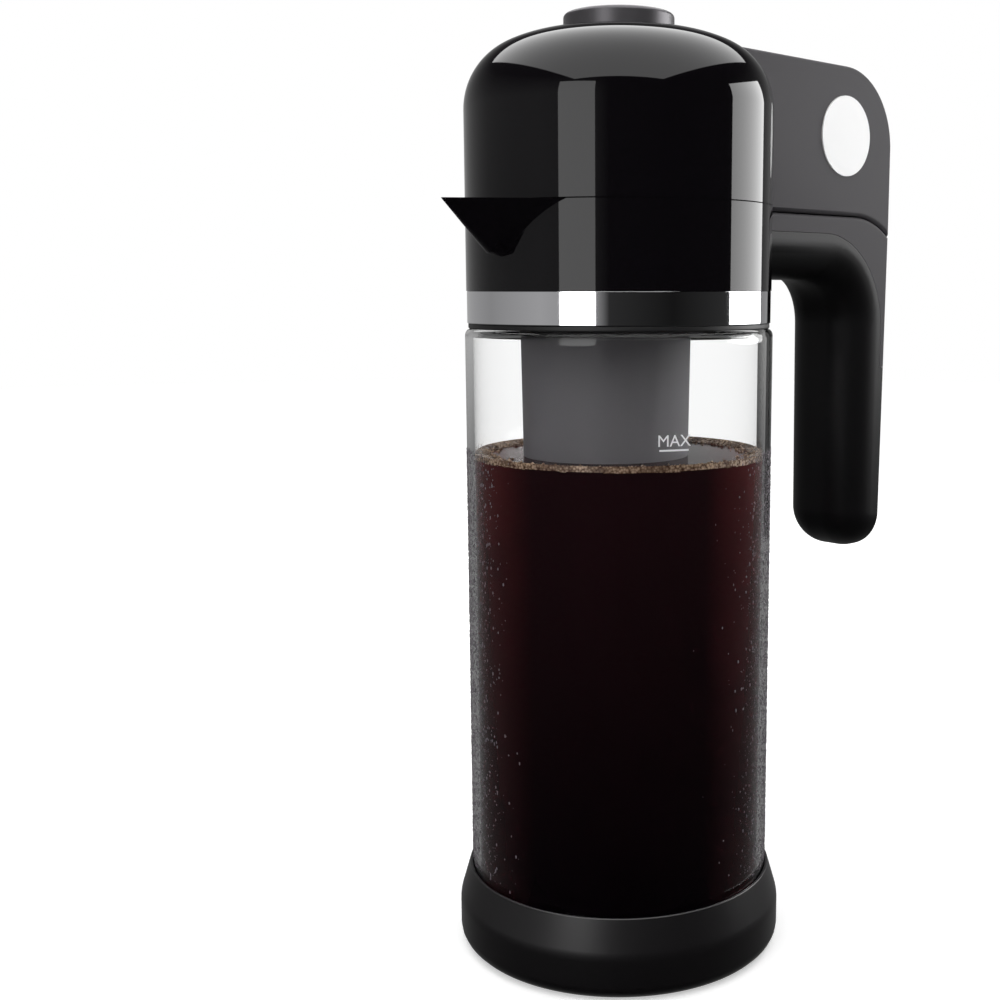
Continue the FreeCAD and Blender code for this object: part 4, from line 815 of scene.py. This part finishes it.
@dataclass
class Carafe(SubAssembly):
    """The glass, the coffee in it and the dew on it."""

    radius: float = 0.050
    wall: float = 0.0025
    bottom: float = 0.0045
    floor: float = 0.0085
    foot_round: float = 0.006
    floor_round: float = 0.002
    shoulder_level: float = 0.2067
    shoulder_round: float = 0.0024
    shoulder_wall: float = 0.0014
    shoulder_under_round: float = 0.0014
    neck_radius: float = 0.0455
    neck_level: float = 0.2225
    neck_foot_round: float = 0.0008
    neck_bore_round: float = 0.0006
    neck_rim_round: float = 0.0009
    coffee_gap: float = 0.00015
    coffee_level: float = 0.1657
    coffee_rim: tuple[Point, ...] = ((0.0026, -0.0002), (0.0040, 0.0))
    froth_depth: float = 0.0005
    froth_top: tuple[Point, ...] = ((0.0042, -0.0002), (0.0030, 0.0005), (0.0012, 0.0008),
                                    (0.0, 0.0013))
    froth_heel: Point = (0.0024, -0.0002)
    froth_waves: tuple[Place, ...] = ((7, 1.3, 1.0), (17, 0.4, 0.6))
    froth_sway: float = 0.018
    froth_hang: float = 0.0003
    froth_under: float = 0.0004
    froth_bubbles: int = 1500
    bubble_inset: float = 0.001
    bubble_spread: float = 0.0028
    bubble_sizes: Point = (0.0002, 0.0007)
    dew_count: int = 6500
    dew_front: float = -134.5
    dew_flank: Point = (81, 13)
    dew_levels: Point = (0.028, 0.168)
    dew_sizes: Point = (0.00011, 0.00026)
    dew_flatness: float = 0.45
    dew_stretch: Point = (1.0, 2.2)
    dew_lift: float = 0.12
    mark_level: float = 0.173
    mark_turn: float = -115.3
    mark_letter_size: float = 0.004968
    mark_depth: float = 0.00002
    mark_gap: float = 0.00006
    mark_line: Point = (0.0094, 0.00055)
    mark_line_drop: float = 0.0012

    def build(self) -> None:
        """Makes the glass, coffee, froth, dew and fill mark."""
        self.add(self.glass(), "carafe", Slot.GLASS, "glass_carafe")
        self.add(self.coffee(), "carafe", None, finish=COFFEE)
        self.add(self.froth(), "carafe", None, finish=FROTH)
        for name, side, seed in (("glass_dew_left", -1, 23), ("glass_dew_right", 1, 29)):
            self.add(self.dew(name, side, seed), "carafe", None, finish=PAINTED_DEW_GLINT)
        self.add(self.mark(), "carafe", None, finish=MARK_INK)

    def glass(self) -> Item:
        """Makes the wall of the glass.

        Returns:
            The wall, closed at the foot and open at the neck.
        """
        bore = self.radius - self.wall
        neck_bore = self.neck_radius - self.wall
        shoulder_under = self.shoulder_level - self.shoulder_wall
        outline = Outline(
            (0.0, self.bottom),
            (self.radius, self.bottom, self.foot_round),
            (self.radius, self.shoulder_level, self.shoulder_round),
            (self.neck_radius, self.shoulder_level, self.neck_foot_round),
            (self.neck_radius, self.neck_level, self.neck_rim_round),
            (neck_bore, self.neck_level, self.neck_rim_round),
            (neck_bore, shoulder_under, self.neck_bore_round),
            (bore, shoulder_under, self.shoulder_under_round),
            (bore, self.floor, self.floor_round),
            (0.0, self.floor))
        return spun_piece("glass_wall", outline, closed=False)

    @property
    def edge(self) -> float:
        """How far the coffee reaches from the axis."""
        return self.radius - self.wall - self.coffee_gap

    def follow(self, outline: Outline, *section: Point) -> Outline:
        """Adds points that are given from the coffee's edge inwards and from its top upwards.

        Args:
            outline: The outline that gets them.
            *section: The points.

        Returns:
            The outline.
        """
        for inset, rise in section:
            outline.at(self.edge - inset, self.coffee_level + rise)
        return outline

    def coffee(self) -> Item:
        """Makes the coffee, with room along the glass for the froth.

        Returns:
            The coffee.
        """
        base = self.floor + self.coffee_gap
        outline = Outline((0.0, base), (self.edge, base, self.floor_round))
        self.follow(outline, (0.0, -self.froth_depth), *self.coffee_rim)
        return spun_piece("brewed_coffee", outline.at(0.0, self.coffee_level), closed=False)

    def froth(self) -> Item:
        """Makes the froth: a low uneven ring along the glass, with loose bubbles inside it.

        Returns:
            The ring and the bubbles as one object.
        """
        rng = random.Random(FROTH_SEED)
        work = spin_outline(self.follow(Outline(), *self.froth_top, (0.0, -self.froth_depth),
                                        self.froth_heel))
        width = self.froth_top[0][0]
        for vert in work.verts:
            turn = math.atan2(vert.co.y, vert.co.x)
            reach = Vector(vert.co.xy).length
            share = (self.edge - reach) / width
            wave = sum(height * math.sin(turn * count + start)
                       for count, start, height in self.froth_waves) + rng.uniform(-1, 1)
            shrink = 1 - share * self.froth_sway * wave
            vert.co.x *= shrink
            vert.co.y *= shrink
            if vert.co.z < self.coffee_level - self.froth_under:
                vert.co.z -= self.froth_hang * (1 + 0.5 * wave)
        bubbles = []
        smallest, growth = self.bubble_sizes
        for _ in range(self.froth_bubbles):
            turn = rng.uniform(0, 2 * math.pi)
            reach = self.edge - self.bubble_inset - abs(rng.gauss(0, self.bubble_spread))
            size = smallest + growth * rng.random() ** 3
            place = (reach * math.cos(turn), reach * math.sin(turn), self.coffee_level + size * 0.2)
            bubbles.append((Matrix.Translation(place), size))
        scatter_drops(work, bubbles)
        return finish_mesh(work, "coffee_froth", DROP_FOLD_ANGLE)

    def dew(self, name: str, side: int, seed: int) -> Item:
        """Small drops of dew on the outside of the glass, thickest in the middle of one flank.

        Args:
            name: The object's name.
            side: -1 for the left flank and 1 for the right one.
            seed: Where the random places start.

        Returns:
            The drops as one object.
        """
        rng = random.Random(seed)
        work = bmesh.new()
        drops = []
        smallest, growth = self.dew_sizes
        for _ in range(self.dew_count):
            turn = math.radians(self.dew_front + side * rng.gauss(*self.dew_flank))
            level = rng.uniform(*self.dew_levels)
            size = smallest + growth * rng.random() ** 3
            stretch = rng.uniform(*self.dew_stretch)
            place = (Matrix.Rotation(turn, 4, "Z")
                     @ Matrix.Translation((self.radius + size * self.dew_lift, 0.0, level))
                     @ Matrix.Diagonal((self.dew_flatness, 1.0, stretch, 1.0)))
            drops.append((place, size))
        scatter_drops(work, drops)
        return finish_mesh(work, name, DROP_FOLD_ANGLE)

    def mark(self) -> Item:
        """Makes the fill mark: a generic word and a line under it, bent round the glass.

        Returns:
            The word and the line as one object.
        """
        text = bpy.data.curves.new("fill_mark_text", "FONT")
        text.body = "MAX"
        text.size = self.mark_letter_size
        text.align_x = "CENTER"
        text.extrude = self.mark_depth
        source = bpy.data.objects.new("fill_mark_text", text)
        flat = bpy.data.meshes.new_from_object(source)
        work = bmesh.new()
        work.from_mesh(flat)
        bpy.data.objects.remove(source)
        bpy.data.meshes.remove(flat)
        line = bmesh.ops.create_grid(work, x_segments=12, y_segments=1, size=0.5)["verts"]
        bmesh.ops.scale(work, vec=(*self.mark_line, 1.0), verts=line)
        bmesh.ops.translate(work, vec=(0.0, -self.mark_line_drop, self.mark_depth), verts=line)
        reach = self.radius + self.mark_gap
        start = math.radians(self.mark_turn)
        for vert in work.verts:
            turn = start + vert.co.x / reach
            out = reach + vert.co.z
            vert.co = (out * math.cos(turn), out * math.sin(turn), self.mark_level + vert.co.y)
        return finish_mesh(work, "fill_mark")


@dataclass
class NeckRings(SubAssembly):
    """The seal and the steel band round the neck."""

    band_radius: float = 0.0492
    band_wall: float = 0.001
    band_level: float = 0.2083
    band_height: float = 0.0103
    seal_radius: float = 0.0489
    seal_bore: float = 0.04565
    seal_level: float = 0.2067
    band_round: float = 0.0003
    seal_round: float = 0.0004

    def build(self) -> None:
        """Makes both rings."""
        band = self.section(self.band_radius - self.band_wall, self.band_radius, self.band_level,
                            self.band_level + self.band_height, self.band_round)
        self.add(spun_piece("steel_ring", band), "carafe", Slot.STEEL, "steel_band")
        seal = self.section(self.seal_bore, self.seal_radius, self.seal_level, self.band_level,
                            self.seal_round)
        self.add(spun_piece("seal_ring", seal), "carafe", Slot.SEAL, "neck_seal")

    def section(self, bore: float, radius: float, low: float, high: float, edge: float) -> Outline:
        """A ring's square section with softened edges."""
        return Outline((bore, low, edge), (radius, low, edge), (radius, high, edge),
                       (bore, high, edge))


@dataclass
class Dome(SubAssembly):
    """The gloss dome of the brew head."""

    radius: float = 0.0494
    wall: float = 0.0025
    seam_level: float = 0.2452
    shoulder_level: float = 0.275
    shoulder_round: float = 0.022
    shoulder_angle: float = 66.0
    hole: float = 0.01795
    edge: float = 0.0004
    crown_start: float = 68.0
    inner_stop: float = 60.0

    def crown(self) -> tuple[Point, float]:
        """Works out the arc that runs on from the shoulder to the button's hole.

        Returns:
            The arc's centre and radius.
        """
        lean = math.radians(self.shoulder_angle)
        centre = self.radius - self.shoulder_round
        turn = (centre + self.shoulder_round * math.cos(lean),
                self.shoulder_level + self.shoulder_round * math.sin(lean))
        radius = (turn[0] - self.hole) / math.cos(lean)
        return (self.hole, turn[1] - radius * math.sin(lean)), radius

    def build(self) -> None:
        """Makes the dome's shell."""
        shoulder = (self.radius - self.shoulder_round, self.shoulder_level)
        crown, crown_radius = self.crown()
        bore = self.radius - self.wall
        inner = self.shoulder_round - self.wall
        outline = (Outline((bore, self.seam_level), (self.radius, self.seam_level, self.edge))
                   .arc(shoulder, self.shoulder_round, 0.0, self.shoulder_angle, steps=20)
                   .arc(crown, crown_radius, self.crown_start, 90.0, steps=12)
                   .arc(crown, crown_radius - self.wall, 90.0, self.shoulder_angle, steps=8)
                   .arc(shoulder, inner, self.inner_stop, 0.0, steps=10))
        self.add(spun_piece("dome_shell", outline, steps=256), "brew_head", Slot.GLOSS,
                 "dome_cover")


@dataclass
class Button(SubAssembly):
    """The round button in the dome's top."""

    radius: float = 0.0176
    top_level: float = 0.3048
    skirt_level: float = 0.2946
    edge: float = 0.0012
    skirt_edge: float = 0.0003

    def build(self) -> None:
        """Makes the button's cap."""
        outline = Outline(
            (0.0, self.skirt_level),
            (self.radius, self.skirt_level, self.skirt_edge),
            (self.radius, self.top_level, self.edge),
            (0.0, self.top_level))
        self.add(spun_piece("button_cap", outline, closed=False, steps=128), "brew_button",
                 Slot.BUTTON, "top_button")


@dataclass
class CopiedShells(SubAssembly):
    """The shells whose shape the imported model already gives."""

    collar_radius: float = 0.0494
    carafe: tuple[tuple[str, Slot], ...] = (
        ("handle_shell", Slot.HANDLE), ("handle_grip", Slot.GRIP), ("handle_screws", Slot.SCREW),
        ("neck_ring", Slot.NYLON))
    filter_unit: tuple[tuple[str, Slot], ...] = (
        ("brew_column", Slot.COLUMN), ("mesh_sleeve", Slot.MESH), ("column_cap", Slot.COLUMN))
    brew_head: tuple[tuple[str, Slot], ...] = (
        ("rear_housing", Slot.HANDLE), ("badge_disc", Slot.BADGE), ("head_base", Slot.NYLON),
        ("head_gasket", Slot.SEAL), ("base_screws", Slot.SCREW), ("suction_tube", Slot.TUBE),
        ("intake_strainer", Slot.NYLON), ("tube_grommet", Slot.SEAL), ("spray_head", Slot.NYLON),
        ("power_socket", Slot.CHIP), ("status_light", Slot.LIGHT))

    def build(self) -> None:
        """Copies each shell and shades it smooth."""
        self.add(smooth_copy("spout_collar", self.collar_radius), "carafe", Slot.GLOSS,
                 "spout_collar")
        for body in ("carafe", "filter_unit", "brew_head"):
            for node, slot in getattr(self, body):
                self.add(smooth_copy(node), body, slot, node)


# ---------- studio


@dataclass
class Studio:
    """The floor, the lamps, the world and the camera."""

    camera_place: Place = (-0.3203, -0.3260, 0.2186)
    camera_pitch: float = -8.56
    camera_turn: float = -44.5
    camera_shift: float = -0.119
    lens: float = 50.0
    side_reach: float = 0.9
    side_level: float = 0.40
    side_lamps: tuple[tuple[str, float, Point, float], ...] = (
        ("left_softbox", -29.5, (0.42, 0.46), 3.6), ("right_softbox", 108.3, (0.68, 0.46), 6.5))
    top_reach: float = 0.18
    top_level: float = 0.8
    top_size: Point = (1.25, 1.6)
    top_light: float = 2.3
    top_gloss_light: float = 0.9
    top_gloss_rise: float = 0.01
    floor_radius: float = 3.0
    floor_tone: Colour = (0.7, 0.7, 0.7, 1.0)
    floor_fade: tuple[float, ...] = (0.15, 0.6, 0.5, 1.0)
    horizon_fade: tuple[float, ...] = (-0.03, -0.12)
    high_fade: tuple[float, ...] = (0.12, 0.5, 1.0, 0.12)

    def build(self) -> None:
        """Sets everything up."""
        self.add_camera()
        self.add_floor()
        self.add_world()
        aim = (0.0, 0.0, self.side_level)
        for name, turn, size, level in self.side_lamps:
            place = self.around(turn, self.side_level, self.side_reach)
            self.add_lamp(name, place, aim, size, level, gloss_only=True)
        east, north, level = self.around(0.0, self.top_level, self.top_reach)
        under = (east, north, 0.0)
        self.add_lamp("top_panel", (east, north, level), under, self.top_size, self.top_light,
                      self.camera_turn)
        self.add_lamp("top_gloss", (east, north, level + self.top_gloss_rise), under,
                      self.top_size, self.top_gloss_light, self.camera_turn, gloss_only=True)

    def around(self, turn: float, level: float, reach: float) -> Place:
        """A place round the object, at a turn from the camera's side in degrees."""
        angle = math.radians(self.camera_turn + turn)
        return reach * math.sin(angle), -reach * math.cos(angle), level

    def add_camera(self) -> None:
        """Adds the camera."""
        data = bpy.data.cameras.new("view_camera")
        data.lens = self.lens
        data.shift_x = self.camera_shift
        data.clip_start = 0.01
        camera = bpy.data.objects.new("view_camera", data)
        camera.location = self.camera_place
        camera.rotation_euler = (math.radians(90 + self.camera_pitch), 0.0,
                                 math.radians(self.camera_turn))
        bpy.context.scene.collection.objects.link(camera)
        bpy.context.scene.camera = camera

    def add_lamp(self, name: str, place: Place, aim: Place, size: Point, level: float,
                 turn: float = 0.0, gloss_only: bool = False) -> None:
        """Adds a softbox that the camera doesn't see.

        Args:
            name: The lamp's name.
            place: Where its middle is.
            aim: The point that it faces.
            size: Its width and height.
            level: How bright its face is.
            turn: For a lamp that faces straight down, its turn about the upright axis.
            gloss_only: Whether it shows in gloss and leaves matt surfaces alone.
        """
        data = bpy.data.lights.new(name, "AREA")
        data.shape = "RECTANGLE"
        data.size, data.size_y = size
        data.energy = level * LAMP_WATTS_PER_LEVEL * size[0] * size[1]
        lamp = bpy.data.objects.new(name, data)
        lamp.location = place
        direction = Vector(aim) - Vector(place)
        lamp.rotation_euler = direction.to_track_quat("-Z", "Y").to_euler()
        if turn:
            lamp.rotation_euler = (0.0, 0.0, math.radians(turn))
        lamp.visible_camera = False
        lamp.visible_diffuse = not gloss_only
        bpy.context.scene.collection.objects.link(lamp)

    def add_floor(self) -> None:
        """Adds the pale floor, which fades to white away from the object."""
        work = bmesh.new()
        bmesh.ops.create_circle(work, cap_ends=True, segments=96, radius=self.floor_radius)
        floor = finish_mesh(work, "studio_floor")
        made = bpy.data.materials.new("studio_floor")
        made.use_nodes = True
        graph = Graph(made.node_tree)
        reach = graph.node("VectorMath", {0: graph.spot()}, operation="LENGTH").outputs["Value"]
        far = graph.fit(reach, *self.floor_fade)
        path = graph.node("LightPath").outputs
        shown = graph.math("MULTIPLY", far, self.open_view(graph, path))
        glow = graph.node("Emission", {0: WHITE, 1: shown})
        cloth = graph.node("BsdfDiffuse", {0: self.floor_tone})
        both = graph.node("AddShader", {0: cloth.outputs[0], 1: glow.outputs[0]})
        open_air = graph.node("BsdfTransparent", {0: WHITE})
        seen = graph.node("MixShader", {0: path["Is Glossy Ray"], 1: both.outputs[0],
                                        2: open_air.outputs[0]})
        graph.node("OutputMaterial", {0: seen.outputs[0]})
        floor.data.materials.append(made)

    def add_world(self) -> None:
        """Adds the world: white to the camera and through glass, a dim studio to gloss."""
        world = bpy.data.worlds.new("studio")
        bpy.context.scene.world = world
        world.use_nodes = True
        graph = Graph(world.node_tree)
        axes = graph.axes(graph.node("TexCoord").outputs["Generated"])
        turn = graph.math("ARCTAN2", axes[0], graph.math("MULTIPLY", axes[1], -1.0))
        relative = graph.math("SUBTRACT", turn, math.radians(self.camera_turn))
        wrapped = graph.math("WRAP", relative, math.pi, -math.pi)
        share = graph.math("MULTIPLY_ADD", wrapped, 0.5 / math.pi, 0.5)
        upper, lower = (graph.ramp(share, [(self.room_share(turn), (level, level, level, 1.0))
                                           for turn, level in levels])
                        for levels in (ROOM_LEVELS, FLOOR_LEVELS))
        room = graph.mix(graph.fit(axes[2], *self.horizon_fade), upper, lower)
        gloss = graph.scaled(room, graph.fit(axes[2], *self.high_fade))
        path = graph.node("LightPath").outputs
        colour = graph.mix(self.open_view(graph, path), gloss, WHITE)
        light = graph.node("Background", {0: colour, 1: 1.0})
        graph.node("OutputWorld", {0: light.outputs[0]})

    @staticmethod
    def open_view(graph: Graph, path: Sockets) -> Socket:
        """Tells what the camera sees in the open or straight through glass from the rest.

        Args:
            graph: The graph that gets the nodes.
            path: What the graph's Light Path node puts out.

        Returns:
            1 for what is seen so, otherwise 0.
        """
        bounced = graph.math("ADD", path["Glossy Depth"], path["Diffuse Depth"])
        through = graph.math("MULTIPLY", path["Is Transmission Ray"],
                             graph.math("LESS_THAN", bounced, 0.5))
        return graph.math("MAXIMUM", path["Is Camera Ray"], through)

    @staticmethod
    def room_share(turn: float) -> float:
        """A turn from the camera's side, in degrees, as a place on the world's ramp."""
        return (turn + 180.0) / 360.0


def dress_nodes() -> None:
    """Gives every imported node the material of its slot."""
    for row in frame["record"]["subparts"]:
        node = frame["nodes"][row["node"]]
        node.data.materials.clear()
        node.data.materials.append(FINISHES[Slot(row["material_slot"])].material())


def main() -> None:
    """Builds and dresses every sub-assembly, then sets up the studio."""
    logging.basicConfig(level=logging.INFO, format="%(name)s: %(message)s")
    bpy.context.scene.view_settings.view_transform = "Standard"
    dress_nodes()
    for assembly in (Boot(), Carafe(), NeckRings(), Dome(), Button(), CopiedShells()):
        LOG.info("building %s", type(assembly).__name__)
        assembly.build()
        assembly.dress()
    Studio().build()


if __name__ == "__main__":
    main()
